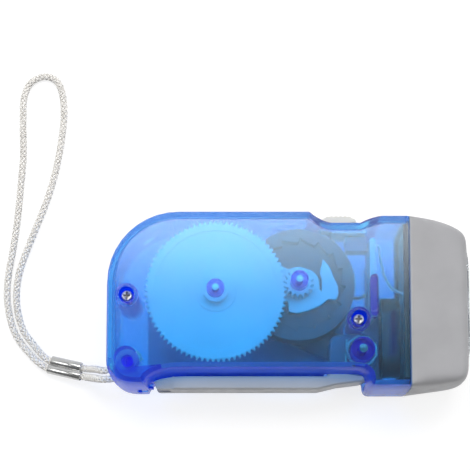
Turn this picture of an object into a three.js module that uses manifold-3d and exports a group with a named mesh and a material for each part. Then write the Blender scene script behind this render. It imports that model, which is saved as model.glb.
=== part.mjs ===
// A squeeze lever flashlight: a translucent casing in two halves, a lever with a toothed sector,
// a step-up gear train, a ratchet flywheel dynamo, a small charging circuit and a three-lamp head.
// Millimetres. X runs from the tail to the lens, Z from the far half of the casing to the near one.
import * as THREE from "three";
import { mergeVertices } from "three/addons/utils/BufferGeometryUtils.js";
import Module from "manifold-3d";

const wasm = await Module();
wasm.setup();

// Fits and cuts
const runningGap = 0.3;
const seatGap = 0.05;
const overrun = 2;

// Casing outline, at the parting plane
const bodyLength = 105;
const bodyHeight = 51.8;
const bodyThickness = 36;
const casingWall = 1.5;
const faceWall = 2;
const crown = 1.2;
const tailTopRadius = 21;
const tailBottomRadius = 8;
const tailRise = 0.7;
const noseDrop = 1.2;
const scoopLength = 20.5;
const scoopDepth = 3.25;
const scoopFlatStartShare = 0.29;
const scoopFlatEndShare = 0.7;
const recessDepth = 5;
const recessStart = 23;
const tailCornerEnd = 12.3;
const noseBlockLength = 12.6;
const noseShoulder = 3;
const noseCornerRun = 2.6;

// Head bezel and lamps
const headLength = 18;
const headWall = 3;
const skirtLength = 1.7;
const bezelFrontSetback = 0.5;
const headTopCorner = 4.3;
const headTopFall = 4.3;
const headBottomCorner = 3.9;
const headTaper = 3;
const headRound = 1.6;
const windowMargin = 4.7;
const windowFaceMargin = 6.5;
const windowRadius = 7;
const lensLip = 0.8;
const lensEdge = 1.5;
const lensDome = 0.6;
const reflectorLength = 10.3;
const lampRadius = 2.5;
const lampLength = 6.4;
const bowlRim = 0.5;
const ledBoardThickness = 1.5;

// Gear train
const gearTailRoom = 10.925;
const gearEdgeRoom = 2.725;
const driveRise = 0.7;
const hubToBattery = 0.7;
const gearTeeth = 81;
const pinionTeeth = 16;
const gearBacklash = 0.1;
const gearThickness = 2;
const gearLevelShare = 0.703;
const gearDish = 0.5;
const gearRim = 2.4;
const gearHubRadius = 3.6;
const rotorBearing = 5.7;
const leverModuleShare = 1.6;
const sectorTeeth = 103;
const drivePinionTeeth = 11;
const leverBacklash = 0.15;
const pivotBearing = -22.6;
const pressureAngle = 25;
const addendumShare = 0.85;
const dedendumShare = 1.1;
const sectorLevelShare = 0.125;
const sectorSweepGap = 1.2;
const pinionOverlap = 0.4;
const shaftRadius = 1;
const shaftSeat = 1.4;
const bossRadius = 2.6;
const bossFloor = 3.2;

// Lever
const leverWidth = 13;
const leverSlack = 0.4;
const leverUnderside = 0.8;
const leverTipFromTail = 13.8;
const leverNoseHeight = 2.2;
const leverRamp = 5;
const leverBevel = 0.5;
const leverWall = 1.5;
const leverSkin = 1.2;
const leverPockets = 5;
const hubRadius = 5.3;
const neckLeft = 9.2;
const neckRise = 4.9;
const neckCorner = 1.6;
const armWidth = 8;
const sectorRim = 2;
const sectorLeadAngle = 5.2;
const sectorTrailAngle = 27;
const pinRadius = 1.2;
const pivotBossRadius = 3.45;

// Torsion spring
const springWire = 0.7;
const springMeanRadius = 4.4;
const springTurns = 3;
const springPitch = 0.95;

// Rotor, flywheel and stator
const pawlLevelShare = 0.581;
const pawlThickness = 2;
const pinionAboveGear = 0.7;
const flywheelToHub = 4.15;
const flywheelLevelShare = 0.281;
const flywheelLip = 0.4;
const flywheelWeb = 2.4;
const flywheelWebGap = 0.5;
const flywheelBore = 1.3;
const ratchetTeeth = 16;
const ratchetRim = 2.7;
const ratchetDepth = 1.5;
const magnetRim = 2;
const magnetBoreShare = 0.76;
const magnetStep = 0.65;
const airGap = 0.5;
const statorPlate = 0.6;
const statorBelowFlywheel = 0.9;
const clawCount = 4;
const clawShare = 0.53;
const clawDepth = 0.6;
const bobbinFlange = 0.8;
const bobbinTubeShare = 0.305;
const bobbinBore = 1.35;
const coilRoom = 0.8;
const statorHeadroom = 1.1;
const footShare = 0.57;

// Screws and strap post
const rearScrewFromTail = 6.2;
const rearScrewY = 1.1;
const frontScrewBehindPivot = 1.1;
const frontScrewRise = 8.62;
const screwHeadRadius = 1.65;
const screwHeadHeight = 1.6;
const screwShank = 1.1;
const screwRecess = 3.6;
const screwFloor = 4.8;
const counterboreRadius = 2.25;
const rearBossRadius = 3.4;
const crossWidth = 0.5;
const crossLength = 2;
const crossDepth = 0.7;
const strapPostFromTail = 6.1;
const strapPostRise = 8.9;
const strapPostRadius = 1.75;
const strapBossRadius = 3.5;
const strapRoom = 10;
const strapHoleHeight = 7.6;
const strapHoleRise = 6.3;
const strapHoleWidth = 4.6;

// Switch
const knobBehindSwitch = 7.45;
const knobFromScoop = 3.45;
const knobLength = 10.5;
const knobWidth = 12;
const knobTravel = 3.5;
const knobUnderside = 4.3;
const knobGrooves = 7;
const knobGrooveWidth = 0.6;
const knobGrooveDepth = 0.4;
const knobStemInset = 3.15;
const knobFlangeThickness = 0.65;
const knobFlangeOverlap = 2.75;
const knobFlangeMargin = 1.6;
const knobTongue = 1;
const knobTongueDrop = 2.6;
const knobTongueWidth = 2.4;
const switchLength = 6.3;
const switchHeight = 4.2;
const switchWidth = 8;
const switchSlotDepth = 2.6;

// Circuit, battery and leads
const boardBehindSeam = 10.7;
const boardThickness = 1.6;
const boardBottom = -4.2;
const boardTopRoom = 7.5;
const boardSideRoom = 6;
const batteryThickness = 5.4;
const batteryRadius = 6;
const batteryLength = 23.4;
const batteryRise = 4.6;
const batteryFromBoard = 1.8;
const chipSize = 5;
const chipHeight = 1.4;
const ribThickness = 1.4;
const leadRadius = 0.45;
const leadClearance = 2.5;
const leadBend = 1.6;
const lampLeadSide = 2;
const markRibBehindSeam = 9.9;
const markRibLow = -5.1;
const markRibHigh = 7.1;
const markRibWidth = 2.2;
const stubRibFromTail = 18.8;
const stubRibWidth = 1.2;
const stubRibDepth = 3;
const stubRibHead = 3.4;

// Tray under the gear train
const trayFromTail = 11.1;
const trayThickness = 2.4;
const trayLip = 1;
const trayLipHeight = 0.6;

// Lock slide
const lockLength = 5.2;
const lockHeight = 1.5;
const lockWidth = 8;
const lockReach = 1.2;
const lockTravel = 1.5;
const lockFloor = 0.7;
const lockRibLength = 1;
const lockRibDrop = 0.8;
const lockRibInset = 0.8;
const lockRibWidth = 4;
const lockTongueHeight = 0.7;
const lockTongueWidth = 4.4;
const lockBlockTop = 3.5;

// Strap
const strapDiameter = 2.3;
const strapSpacing = 2.5;
const ferruleLength = 10.6;
const ferruleWall = 0.35;

// Roundness
const roundSides = 28;
const smallSides = 16;
const lampSides = 10;
const outlineSteps = 5;
const lensSteps = 3;
const cordSides = 8;
const leadSides = 6;
const strapSteps = 74;
const curveSteps = 10;

// Places worked out from the sizes
const tailX = -bodyLength / 2;
const frontX = bodyLength / 2;
const topY = bodyHeight / 2;
const bottomY = -bodyHeight / 2;
const partingZ = bodyThickness / 2;
const seamX = frontX - headLength;
const noseTopY = topY - noseDrop;
const tailBottomY = bottomY + tailRise;
const recessY = bottomY + recessDepth;
const nearInside = bodyThickness - faceWall;
const farInside = faceWall;
const innerDepth = nearInside - farInside;
const boardX = seamX - boardBehindSeam;
const boardDepth = innerDepth - boardSideRoom * 2;
const switchX = boardX - runningGap - switchLength;
const knobX = switchX - knobBehindSwitch;
const scoopX = knobX - knobFromScoop;
const boardTop = topY - boardTopRoom;
const batteryX = boardX + boardThickness + batteryFromBoard;
const batteryBottom = bottomY + batteryRise;
const batteryMiddle = batteryBottom + batteryLength / 2;

// The gear train takes the largest module that the casing's length and height both allow
const pivotAngle = THREE.MathUtils.degToRad(pivotBearing);
const rotorAngle = THREE.MathUtils.degToRad(rotorBearing);
const gearTipSpan = gearTeeth / 2 + addendumShare;
const leverSpan = (leverModuleShare * (sectorTeeth + drivePinionTeeth)) / 2;
const trainSpan = gearTipSpan + leverSpan * Math.cos(pivotAngle);
const trainRoom = batteryX - hubToBattery - hubRadius - tailX - gearTailRoom;
const gearRoom = (topY - recessY) / 2 - gearEdgeRoom;
const gearModule = Math.min(trainRoom / trainSpan, gearRoom / gearTipSpan);
const leverModule = gearModule * leverModuleShare;
const driveX = tailX + gearTailRoom + gearModule * gearTipSpan;
const driveY = (topY + recessY) / 2 + driveRise;
const gearDistance = (gearModule * (gearTeeth + pinionTeeth)) / 2;
const leverDistance = gearModule * leverSpan;
const rotorX = driveX + gearDistance * Math.cos(rotorAngle);
const rotorY = driveY + gearDistance * Math.sin(rotorAngle);
const pivotX = driveX + leverDistance * Math.cos(pivotAngle);
const pivotY = driveY + leverDistance * Math.sin(pivotAngle);
const leverLow = partingZ - leverWidth / 2;
const leverHigh = partingZ + leverWidth / 2;
const sectorRadius = (leverModule * sectorTeeth) / 2;
const rearScrewX = tailX + rearScrewFromTail;
const frontScrewX = pivotX - frontScrewBehindPivot;
const frontScrewY = pivotY + frontScrewRise;
const strapPostX = tailX + strapPostFromTail;
const strapPostY = bottomY + strapPostRise;
const strapHoleCentre = bottomY + strapHoleRise;

// Levels of the gear train between the two faces, and the radii that nest in the flywheel
const sectorLevel = farInside + innerDepth * sectorLevelShare;
const flywheelBottom = farInside + innerDepth * flywheelLevelShare;
const sectorThickness = flywheelBottom - sectorSweepGap - sectorLevel;
const pawlLevel = farInside + innerDepth * pawlLevelShare;
const flywheelTop = pawlLevel + pawlThickness + flywheelLip;
const flywheelWebTop = pawlLevel - flywheelWebGap;
const flywheelWebLevel = flywheelWebTop - flywheelWeb;
const gearLevel = farInside + innerDepth * gearLevelShare;
const rotorPinionTop = gearLevel + gearThickness + pinionAboveGear;
const flywheelRadius = gearDistance - gearHubRadius - flywheelToHub;
const ratchetRootRadius = flywheelRadius - ratchetRim;
const pawlReach = ratchetRootRadius - ratchetDepth - runningGap;
const magnetOuter = flywheelRadius - magnetRim;
const magnetInner = magnetOuter * magnetBoreShare;
const magnetLow = flywheelBottom + magnetStep;
const magnetHigh = flywheelWebLevel - seatGap;
const statorRadius = magnetInner - airGap;
const statorLevel = flywheelBottom - statorBelowFlywheel;
const coilRadius = statorRadius - clawDepth - coilRoom;
const footRadius = statorRadius * footShare;
const bobbinTube = statorRadius * bobbinTubeShare;

// Solids
function solidOf(geometry) {
  const bare = geometry.clone();
  bare.deleteAttribute("normal");
  bare.deleteAttribute("uv");
  const merged = mergeVertices(bare, 1e-5);
  const corners = merged.index.array;
  const faces = [];
  for (let i = 0; i < corners.length; i += 3) {
    const [a, b, c] = [corners[i], corners[i + 1], corners[i + 2]];
    if (a !== b && b !== c && c !== a) {
      faces.push(a, b, c);
    }
  }
  const triVerts = Uint32Array.from(faces);
  const vertProperties = Float32Array.from(merged.attributes.position.array);
  return new wasm.Manifold(new wasm.Mesh({ numProp: 3, vertProperties, triVerts }));
}

function geometryOf(solid) {
  const result = solid.getMesh();
  const geometry = new THREE.BufferGeometry();
  geometry.setAttribute("position", new THREE.BufferAttribute(result.vertProperties, result.numProp));
  geometry.setIndex(new THREE.BufferAttribute(result.triVerts, 1));
  const flat = geometry.toNonIndexed();
  flat.computeVertexNormals();
  return flat;
}

function joined(first, ...others) {
  return others.reduce((whole, piece) => whole.add(piece), first);
}

function cut(body, ...tools) {
  return tools.reduce((rest, tool) => rest.subtract(tool), body);
}

function block(x0, x1, y0, y1, z0, z1) {
  const geometry = new THREE.BoxGeometry(x1 - x0, y1 - y0, z1 - z0);
  geometry.translate((x0 + x1) / 2, (y0 + y1) / 2, (z0 + z1) / 2);
  return solidOf(geometry);
}

function post(x, y, radius, z0, z1, sides = smallSides, endRadius = radius) {
  const geometry = new THREE.CylinderGeometry(endRadius, radius, z1 - z0, sides);
  geometry.rotateX(Math.PI / 2);
  geometry.translate(x, y, (z0 + z1) / 2);
  return solidOf(geometry);
}

function rod(y, z, radius, x0, x1, sides = smallSides, endRadius = radius) {
  const geometry = new THREE.CylinderGeometry(endRadius, radius, x1 - x0, sides);
  geometry.rotateZ(-Math.PI / 2);
  geometry.translate((x0 + x1) / 2, y, z);
  return solidOf(geometry);
}

function ring(inner, outer, z0, z1, sides = roundSides) {
  return cut(post(0, 0, outer, z0, z1, sides), post(0, 0, inner, z0 - overrun, z1 + overrun, sides));
}

function plate(shape, z0, z1) {
  const geometry = new THREE.ExtrudeGeometry(shape, {
    depth: z1 - z0, bevelEnabled: false, curveSegments: curveSteps,
  });
  geometry.translate(0, 0, z0);
  return solidOf(geometry);
}

function polygon(points) {
  return new THREE.Shape(points.map(([x, y]) => new THREE.Vector2(x, y)));
}

function roundedRectangle(width, height, radius) {
  const shape = new THREE.Shape();
  const x = width / 2;
  const y = height / 2;
  shape.moveTo(x - radius, -y);
  shape.absarc(x - radius, -y + radius, radius, -Math.PI / 2, 0, false);
  shape.absarc(x - radius, y - radius, radius, 0, Math.PI / 2, false);
  shape.absarc(-x + radius, y - radius, radius, Math.PI / 2, Math.PI, false);
  shape.absarc(-x + radius, -y + radius, radius, Math.PI, Math.PI * 1.5, false);
  return shape;
}

function tube(points, radius, sides, steps = points.length * 2) {
  const path = new THREE.CatmullRomCurve3(points.map(([x, y, z]) => new THREE.Vector3(x, y, z)));
  const section = new THREE.Shape();
  section.absarc(0, 0, radius, 0, Math.PI * 2, false);
  return new THREE.ExtrudeGeometry(section, {
    steps, bevelEnabled: false, extrudePath: path, curveSegments: sides / 2,
  });
}

// A closed outline moved inwards in small steps; points that meet on the way go on as one
function insetLoop(points, distance) {
  let loop = points.map((point, i) => ({ at: point.clone(), from: [i] }));
  const steps = Math.max(1, Math.ceil(distance / (runningGap / 2)));
  const wrap = (list, i) => list[(i + list.length) % list.length];
  for (let step = 0; step < steps && distance > 0; step += 1) {
    const moved = loop.map((corner, i) => {
      const one = corner.at.clone().sub(wrap(loop, i - 1).at).normalize();
      const two = wrap(loop, i + 1).at.clone().sub(corner.at).normalize();
      const normal = new THREE.Vector2(-one.y - two.y, one.x + two.x).normalize();
      const stretch = 1 / Math.max(0.5, Math.sqrt((1 + one.dot(two)) / 2));
      return { at: corner.at.clone().addScaledVector(normal, (distance / steps) * stretch), from: corner.from };
    });
    const kept = [];
    moved.forEach((corner, i) => {
      const before = wrap(loop, i - 1).at;
      const was = loop[i].at.clone().sub(before);
      const now = corner.at.clone().sub(wrap(moved, i - 1).at);
      if (kept.length > 0 && now.dot(was) <= was.length() * distance * 0.02) {
        const last = kept[kept.length - 1];
        last.at.lerp(corner.at, 0.5);
        last.from = [...last.from, ...corner.from];
      } else {
        kept.push(corner);
      }
    });
    loop = kept;
  }
  const spots = [];
  loop.forEach((corner) => corner.from.forEach((i) => {
    spots[i] = corner.at;
  }));
  return { spots, rim: loop.map((corner) => corner.from[0]) };
}

// A solid through a list of levels, each the same outline moved in by its own inset
function stacked(outline, levels) {
  const loops = levels.map(([, inset]) => insetLoop(outline, inset));
  const positions = [];
  const index = [];
  loops.forEach(({ spots }, level) => spots.forEach((p) => positions.push(p.x, p.y, levels[level][0])));
  const count = outline.length;
  const place = (level, i) => level * count + (i % count);
  for (let level = 0; level + 1 < levels.length; level += 1) {
    for (let i = 0; i < count; i += 1) {
      index.push(place(level, i), place(level, i + 1), place(level + 1, i + 1));
      index.push(place(level, i), place(level + 1, i + 1), place(level + 1, i));
    }
  }
  const closeLevel = (level, flip) => {
    const { spots, rim } = loops[level];
    THREE.ShapeUtils.triangulateShape(rim.map((i) => spots[i]), []).forEach(([a, b, c]) => {
      const corners = flip ? [a, c, b] : [a, b, c];
      index.push(...corners.map((i) => place(level, rim[i])));
    });
  };
  closeLevel(0, true);
  closeLevel(levels.length - 1, false);
  const geometry = new THREE.BufferGeometry();
  geometry.setAttribute("position", new THREE.Float32BufferAttribute(positions, 3));
  geometry.setIndex(index);
  return solidOf(geometry);
}

// A plate with bevelled edges; its shape runs counter-clockwise and ends where it starts
function bevelled(shape, z0, z1, size) {
  const points = shape.getPoints(curveSteps).slice(0, -1);
  return stacked(points, [[z0, size], [z0 + size, 0], [z1 - size, 0], [z1, size]]);
}

function crownInset(levelShare) {
  return crown * (1 - Math.sqrt(1 - levelShare * levelShare));
}

// Casing and head outline, counter-clockwise from the tail's lower corner
function casingOutline() {
  const scoopFloor = topY - scoopDepth;
  const flatStart = scoopX + scoopLength * scoopFlatStartShare;
  const flatEnd = scoopX + scoopLength * scoopFlatEndShare;
  const scoopEnd = scoopX + scoopLength;
  const bezelFront = frontX - bezelFrontSetback;
  const noseBlock = seamX - noseBlockLength;
  const recessBack = tailX + recessStart;
  const cornerEnd = tailX + tailCornerEnd;
  const cornerStep = tailRise * 1.2;
  const shape = new THREE.Shape();
  shape.moveTo(tailX + tailBottomRadius, tailBottomY);
  shape.lineTo(cornerEnd - cornerStep * 1.5, tailBottomY);
  shape.quadraticCurveTo(cornerEnd, tailBottomY, cornerEnd, tailBottomY + cornerStep);
  const recessRun = recessBack - cornerEnd;
  shape.bezierCurveTo(
    cornerEnd + recessRun * 0.07, recessY - recessDepth * 0.22,
    cornerEnd + recessRun * 0.4, recessY, recessBack, recessY,
  );
  shape.lineTo(noseBlock - noseShoulder, recessY);
  shape.quadraticCurveTo(noseBlock, recessY, noseBlock, recessY - recessDepth * 0.35);
  shape.quadraticCurveTo(noseBlock, bottomY, noseBlock + noseCornerRun, bottomY);
  shape.lineTo(seamX, bottomY);
  const headRun = bezelFront - seamX;
  const underRise = (topY - noseTopY) * 1.6;
  shape.lineTo(seamX + headRun * 0.8, bottomY + underRise);
  shape.quadraticCurveTo(
    bezelFront - headRun * 0.01, bottomY + underRise * 1.3, bezelFront, bottomY + underRise + headBottomCorner,
  );
  shape.lineTo(bezelFront, noseTopY - headTopFall - headTopCorner * 0.75);
  shape.quadraticCurveTo(
    bezelFront - headRun * 0.01, noseTopY - headTopFall - headTopCorner * 0.15,
    bezelFront - headRun * 0.09, noseTopY - headTopFall,
  );
  shape.quadraticCurveTo(seamX + headRun * 0.57, noseTopY - headTopFall * 0.12, seamX, noseTopY);
  shape.lineTo(scoopEnd, noseTopY);
  const rampRun = scoopEnd - flatEnd;
  shape.quadraticCurveTo(flatEnd + rampRun * 0.42, scoopFloor + (noseTopY - scoopFloor) * 0.72, flatEnd, scoopFloor);
  shape.lineTo(flatStart, scoopFloor);
  shape.quadraticCurveTo(flatStart - (flatStart - scoopX) * 0.52, scoopFloor + scoopDepth * 0.2, scoopX, topY);
  shape.lineTo(tailX + tailTopRadius, topY);
  shape.absarc(tailX + tailTopRadius, topY - tailTopRadius, tailTopRadius, Math.PI / 2, Math.PI, false);
  shape.absarc(
    tailX + tailBottomRadius, tailBottomY + tailBottomRadius, tailBottomRadius, Math.PI, Math.PI * 1.5, false,
  );
  const raw = shape.getPoints(outlineSteps);
  const least = casingWall / 5;
  const points = raw.filter((p, i) => i === 0 || p.distanceTo(raw[i - 1]) > least);
  while (points[points.length - 1].distanceTo(points[0]) <= least) {
    points.pop();
  }
  return points;
}

const outline = casingOutline();
const crownLevelShares = [0, 0.6, 0.88, 1];

function crownedOuter() {
  const near = crownLevelShares.map((share) => [partingZ + partingZ * share, crownInset(share)]);
  const far = crownLevelShares.slice(1).reverse().map((share) => [partingZ - partingZ * share, crownInset(share)]);
  return stacked(outline, [...far, ...near]);
}

function crownedInner(wall) {
  const reach = partingZ - faceWall;
  const shares = [0, 0.7, 1];
  const near = shares.map((share) => [partingZ + reach * share, wall + crownInset(share)]);
  const far = shares.slice(1).reverse().map((share) => [partingZ - reach * share, wall + crownInset(share)]);
  return stacked(outline, [...far, ...near]);
}

const outerForm = crownedOuter();
const innerForm = crownedInner(casingWall);

function slab(x0, x1, z0 = -overrun, z1 = bodyThickness + overrun) {
  return block(x0, x1, bottomY - overrun, topY + overrun, z0, z1);
}

// Gears
function involute(angle) {
  return Math.tan(angle) - angle;
}

function toothPoints(teeth, module, backlash, first, count, flankShares) {
  const pressure = THREE.MathUtils.degToRad(pressureAngle);
  const pitch = (module * teeth) / 2;
  const base = pitch * Math.cos(pressure);
  const tip = pitch + module * addendumShare;
  const root = pitch - module * dedendumShare;
  const halfAngle = (Math.PI * module * 0.5 - backlash) / 2 / pitch;
  const halfAt = (radius) => {
    const local = radius > base ? Math.acos(base / radius) : 0;
    return halfAngle + involute(pressure) - involute(local);
  };
  const points = [];
  for (let k = 0; k < count; k += 1) {
    const centre = first + (k * Math.PI * 2) / teeth;
    const radii = flankShares.map((share) => root + (tip - root) * share);
    radii.forEach((r) => points.push([r * Math.cos(centre - halfAt(r)), r * Math.sin(centre - halfAt(r))]));
    radii.reverse().forEach((r) => points.push([r * Math.cos(centre + halfAt(r)), r * Math.sin(centre + halfAt(r))]));
  }
  return points;
}

const coarseFlankShares = [0, 1];
const fineFlankShares = [0, 0.45, 1];

function wheel(teeth, module, backlash, first, z0, z1, flankShares) {
  return plate(polygon(toothPoints(teeth, module, backlash, first, teeth, flankShares)), z0, z1);
}

function driveGear() {
  const pinionHigh = sectorLevel + sectorThickness + pinionOverlap;
  const gearPitch = (gearModule * gearTeeth) / 2;
  const half = Math.PI / drivePinionTeeth;
  const disc = wheel(
    gearTeeth, gearModule, gearBacklash, rotorAngle, gearLevel, gearLevel + gearThickness, coarseFlankShares,
  );
  const pinion = wheel(
    drivePinionTeeth, leverModule, leverBacklash, pivotAngle + half,
    sectorLevel - pinionOverlap, pinionHigh, fineFlankShares,
  );
  const hub = post(0, 0, gearHubRadius, pinionHigh - pinionOverlap, nearInside - bossFloor - runningGap, smallSides);
  const dish = ring(
    gearHubRadius + gearRim, gearPitch - gearRim,
    gearLevel + gearThickness - gearDish, gearLevel + gearThickness + overrun,
  );
  const bore = post(0, 0, shaftRadius + runningGap / 2, 0, bodyThickness, smallSides);
  return cut(joined(cut(disc, dish), pinion, hub), bore);
}

const pawlAngles = [46, 31, 16, -2, -13, -22, -26, -45, -68, -92, -110, -120, -150];
const pawlRadiusShares = [0.862, 0.88, 0.867, 0.958, 0.996, 0.983, 0.8, 0.729, 0.675, 0.7, 0.7, 0.5, 0.5];
const pawlBackAngles = [
  -134, -149, -164, -182, -193, -202, -206, -225, -236, -270, -310, -330, -345, -375, -375, -345, -330,
];
const pawlBackRadiusShares = [
  0.862, 0.88, 0.867, 0.958, 0.996, 0.983, 0.8, 0.729, 0.46, 0.45, 0.47, 0.5, 0.52, 0.53, 0.59, 0.59, 0.6,
];

function rotorPinion() {
  const angles = [...pawlAngles, ...pawlBackAngles];
  const shares = [...pawlRadiusShares, ...pawlBackRadiusShares];
  const points = angles.map((angle, i) => {
    const turn = THREE.MathUtils.degToRad(angle);
    return [pawlReach * shares[i] * Math.cos(turn), pawlReach * shares[i] * Math.sin(turn)];
  });
  const pawls = plate(polygon(points.reverse()), pawlLevel, pawlLevel + pawlThickness);
  const half = Math.PI / pinionTeeth;
  const pinion = wheel(
    pinionTeeth, gearModule, gearBacklash, rotorAngle + Math.PI + half,
    pawlLevel + pawlThickness / 2, rotorPinionTop, fineFlankShares,
  );
  return cut(joined(pawls, pinion), post(0, 0, shaftRadius + runningGap / 2, 0, bodyThickness, smallSides));
}

function flywheel() {
  const points = [];
  for (let i = 0; i < ratchetTeeth; i += 1) {
    const start = (i * Math.PI * 2) / ratchetTeeth;
    const end = start + (Math.PI * 1.8) / ratchetTeeth;
    const tip = pawlReach + runningGap;
    points.push([tip * Math.cos(start), tip * Math.sin(start)]);
    points.push([ratchetRootRadius * Math.cos(end), ratchetRootRadius * Math.sin(end)]);
  }
  const recess = plate(polygon(points), flywheelWebTop, flywheelTop + overrun);
  const cup = post(0, 0, magnetOuter + seatGap, flywheelBottom - overrun, flywheelWebLevel, roundSides);
  const bore = post(0, 0, flywheelBore, 0, bodyThickness, smallSides);
  return cut(post(0, 0, flywheelRadius, flywheelBottom, flywheelTop, roundSides + 8), recess, cup, bore);
}

function clawPlate(z0, z1, clawFrom, clawTo, turn) {
  const hole = post(0, 0, bobbinTube + seatGap, z0 - overrun, z1 + overrun);
  const disc = cut(post(0, 0, statorRadius, z0, z1, roundSides), hole);
  const clawWidth = (Math.PI * statorRadius * clawShare) / clawCount;
  const claws = [];
  for (let i = 0; i < clawCount; i += 1) {
    const geometry = new THREE.BoxGeometry(clawDepth, clawWidth, clawTo - clawFrom);
    geometry.translate(statorRadius - clawDepth, 0, (clawFrom + clawTo) / 2);
    geometry.rotateZ(turn + (i * Math.PI * 2) / clawCount);
    claws.push(solidOf(geometry));
  }
  return joined(disc, ...claws);
}

const bobbinLow = statorLevel + statorPlate + seatGap;
const coilLow = bobbinLow + bobbinFlange;
const upperPlateLow = flywheelWebLevel - statorHeadroom - statorPlate;
const bobbinHigh = upperPlateLow - seatGap;
const coilHigh = bobbinHigh - bobbinFlange;

function coilBobbin() {
  const flangeRadius = coilRadius + seatGap;
  const upperTube = post(0, 0, bobbinTube, bobbinLow - overrun, upperPlateLow + statorPlate, smallSides);
  const foot = post(0, 0, footRadius, farInside, statorLevel - seatGap, smallSides);
  const flange = (z) => post(0, 0, flangeRadius, z, z + bobbinFlange, roundSides);
  const flanges = [flange(bobbinLow), flange(bobbinHigh - bobbinFlange)];
  return cut(joined(upperTube, foot, ...flanges), post(0, 0, bobbinBore, -overrun, bodyThickness, smallSides));
}

// Lever: handle, neck, hub, arm and toothed sector in one moulding, drawn about its pivot
function leverShape() {
  const top = recessY - leverSlack - pivotY;
  const under = bottomY + leverUnderside - pivotY;
  const tip = tailX + leverTipFromTail - pivotX;
  const back = tailX + recessStart - pivotX;
  const height = top - under;
  const shape = new THREE.Shape();
  shape.moveTo(tip + leverRamp, under);
  shape.lineTo(-neckLeft - height * 0.9, under);
  shape.lineTo(-neckLeft + height * 0.6, under + height * 0.36);
  shape.lineTo(-height * 0.2, under + height * 0.56);
  shape.quadraticCurveTo(hubRadius * 0.75, under + height * 0.7, hubRadius, 0);
  shape.absarc(0, 0, hubRadius, 0, Math.PI / 2, false);
  shape.lineTo(-neckLeft + neckCorner * 2, neckRise);
  shape.quadraticCurveTo(-neckLeft, neckRise, -neckLeft, neckRise - neckCorner * 2);
  shape.lineTo(-neckLeft, top + neckCorner);
  shape.quadraticCurveTo(-neckLeft, top, -neckLeft - neckCorner, top);
  shape.lineTo(back, top);
  const run = back - tip;
  shape.bezierCurveTo(
    tip + run * 0.42, top, tip + run * 0.03, top - height * 0.3, tip, under + leverNoseHeight,
  );
  shape.lineTo(tip + leverRamp, under);
  return shape;
}

function sectorPlate() {
  const step = (Math.PI * 2) / sectorTeeth;
  const mesh = pivotAngle + Math.PI;
  const before = Math.round(THREE.MathUtils.degToRad(sectorTrailAngle) / step);
  const after = Math.round(THREE.MathUtils.degToRad(sectorLeadAngle) / step) - 1;
  const teeth = toothPoints(
    sectorTeeth, leverModule, leverBacklash, mesh - before * step, before + after + 1, coarseFlankShares,
  );
  const inner = sectorRadius - leverModule * dedendumShare - sectorRim;
  const from = mesh + (after + 0.5) * step;
  const to = mesh - (before + 0.5) * step;
  const arc = [];
  for (let i = 0; i <= curveSteps; i += 1) {
    const angle = from + ((to - from) * i) / curveSteps;
    arc.push([inner * Math.cos(angle), inner * Math.sin(angle)]);
  }
  const arm = new THREE.BoxGeometry(inner + sectorRim / 2, armWidth, sectorThickness);
  arm.translate((inner + sectorRim / 2) / 2, 0, sectorLevel + sectorThickness / 2);
  arm.rotateZ(mesh);
  return joined(plate(polygon([...teeth, ...arc]), sectorLevel, sectorLevel + sectorThickness), solidOf(arm));
}

function lever() {
  const top = recessY - leverSlack - pivotY;
  const under = bottomY + leverUnderside - pivotY;
  const back = tailX + recessStart - pivotX;
  const handle = bevelled(leverShape(), leverLow, leverHigh, leverBevel);
  const hub = post(0, 0, hubRadius, sectorLevel, leverLow + overrun, smallSides);
  const front = -neckLeft - neckCorner - leverWall;
  const pitch = (front - back + leverWall) / leverPockets;
  const pockets = [];
  for (let i = 0; i < leverPockets; i += 1) {
    const start = back + i * pitch;
    pockets.push(block(
      start, start + pitch - leverWall, under + leverSkin, top + overrun, leverLow + leverWall, leverHigh - leverWall,
    ));
  }
  const bore = post(0, 0, pinRadius + runningGap / 2, -overrun, bodyThickness, smallSides);
  return cut(joined(handle, hub, sectorPlate()), bore, ...pockets);
}

function torsionSpring() {
  const low = leverHigh + runningGap + springWire / 2;
  const springLeg = pivotY - recessY - casingWall - springWire / 2 - seatGap * 2;
  const points = [];
  const stepsPerTurn = 8;
  const legStart = Math.PI;
  points.push([-springMeanRadius, -springLeg, low]);
  points.push([-springMeanRadius, -springLeg / 2, low]);
  for (let i = 0; i <= springTurns * stepsPerTurn; i += 1) {
    const share = i / stepsPerTurn;
    const angle = legStart - share * Math.PI * 2;
    points.push([springMeanRadius * Math.cos(angle), springMeanRadius * Math.sin(angle), low + share * springPitch]);
  }
  const high = low + springTurns * springPitch;
  points.push([-springMeanRadius, springLeg / 2, high]);
  points.push([-springMeanRadius, springLeg * 0.7, high]);
  return tube(points, springWire / 2, leadSides, points.length);
}

// Casing halves
function screwBoss(x, y, radius, near) {
  if (near) {
    const neckLow = bodyThickness - screwRecess - screwHeadHeight - casingWall;
    const wide = post(x, y, rearBossRadius, neckLow, nearInside + overrun / 2, smallSides);
    return joined(post(x, y, radius, partingZ, neckLow + seatGap, smallSides), wide);
  }
  return post(x, y, radius, farInside - overrun / 2, partingZ, smallSides);
}

function screwHole(x, y) {
  const headSeat = bodyThickness - screwRecess - screwHeadHeight;
  const low = farInside + screwFloor - runningGap;
  return joined(
    post(x, y, screwShank + seatGap, low, headSeat + overrun, smallSides),
    post(x, y, counterboreRadius, headSeat, bodyThickness + overrun, smallSides),
  );
}

const cornerEndX = tailX + tailCornerEnd;
const lockFront = cornerEndX + lockReach;
const lockBack = lockFront - lockLength;
const lockLow = tailBottomY + lockFloor;
const lockHigh = lockLow + lockHeight;

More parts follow.
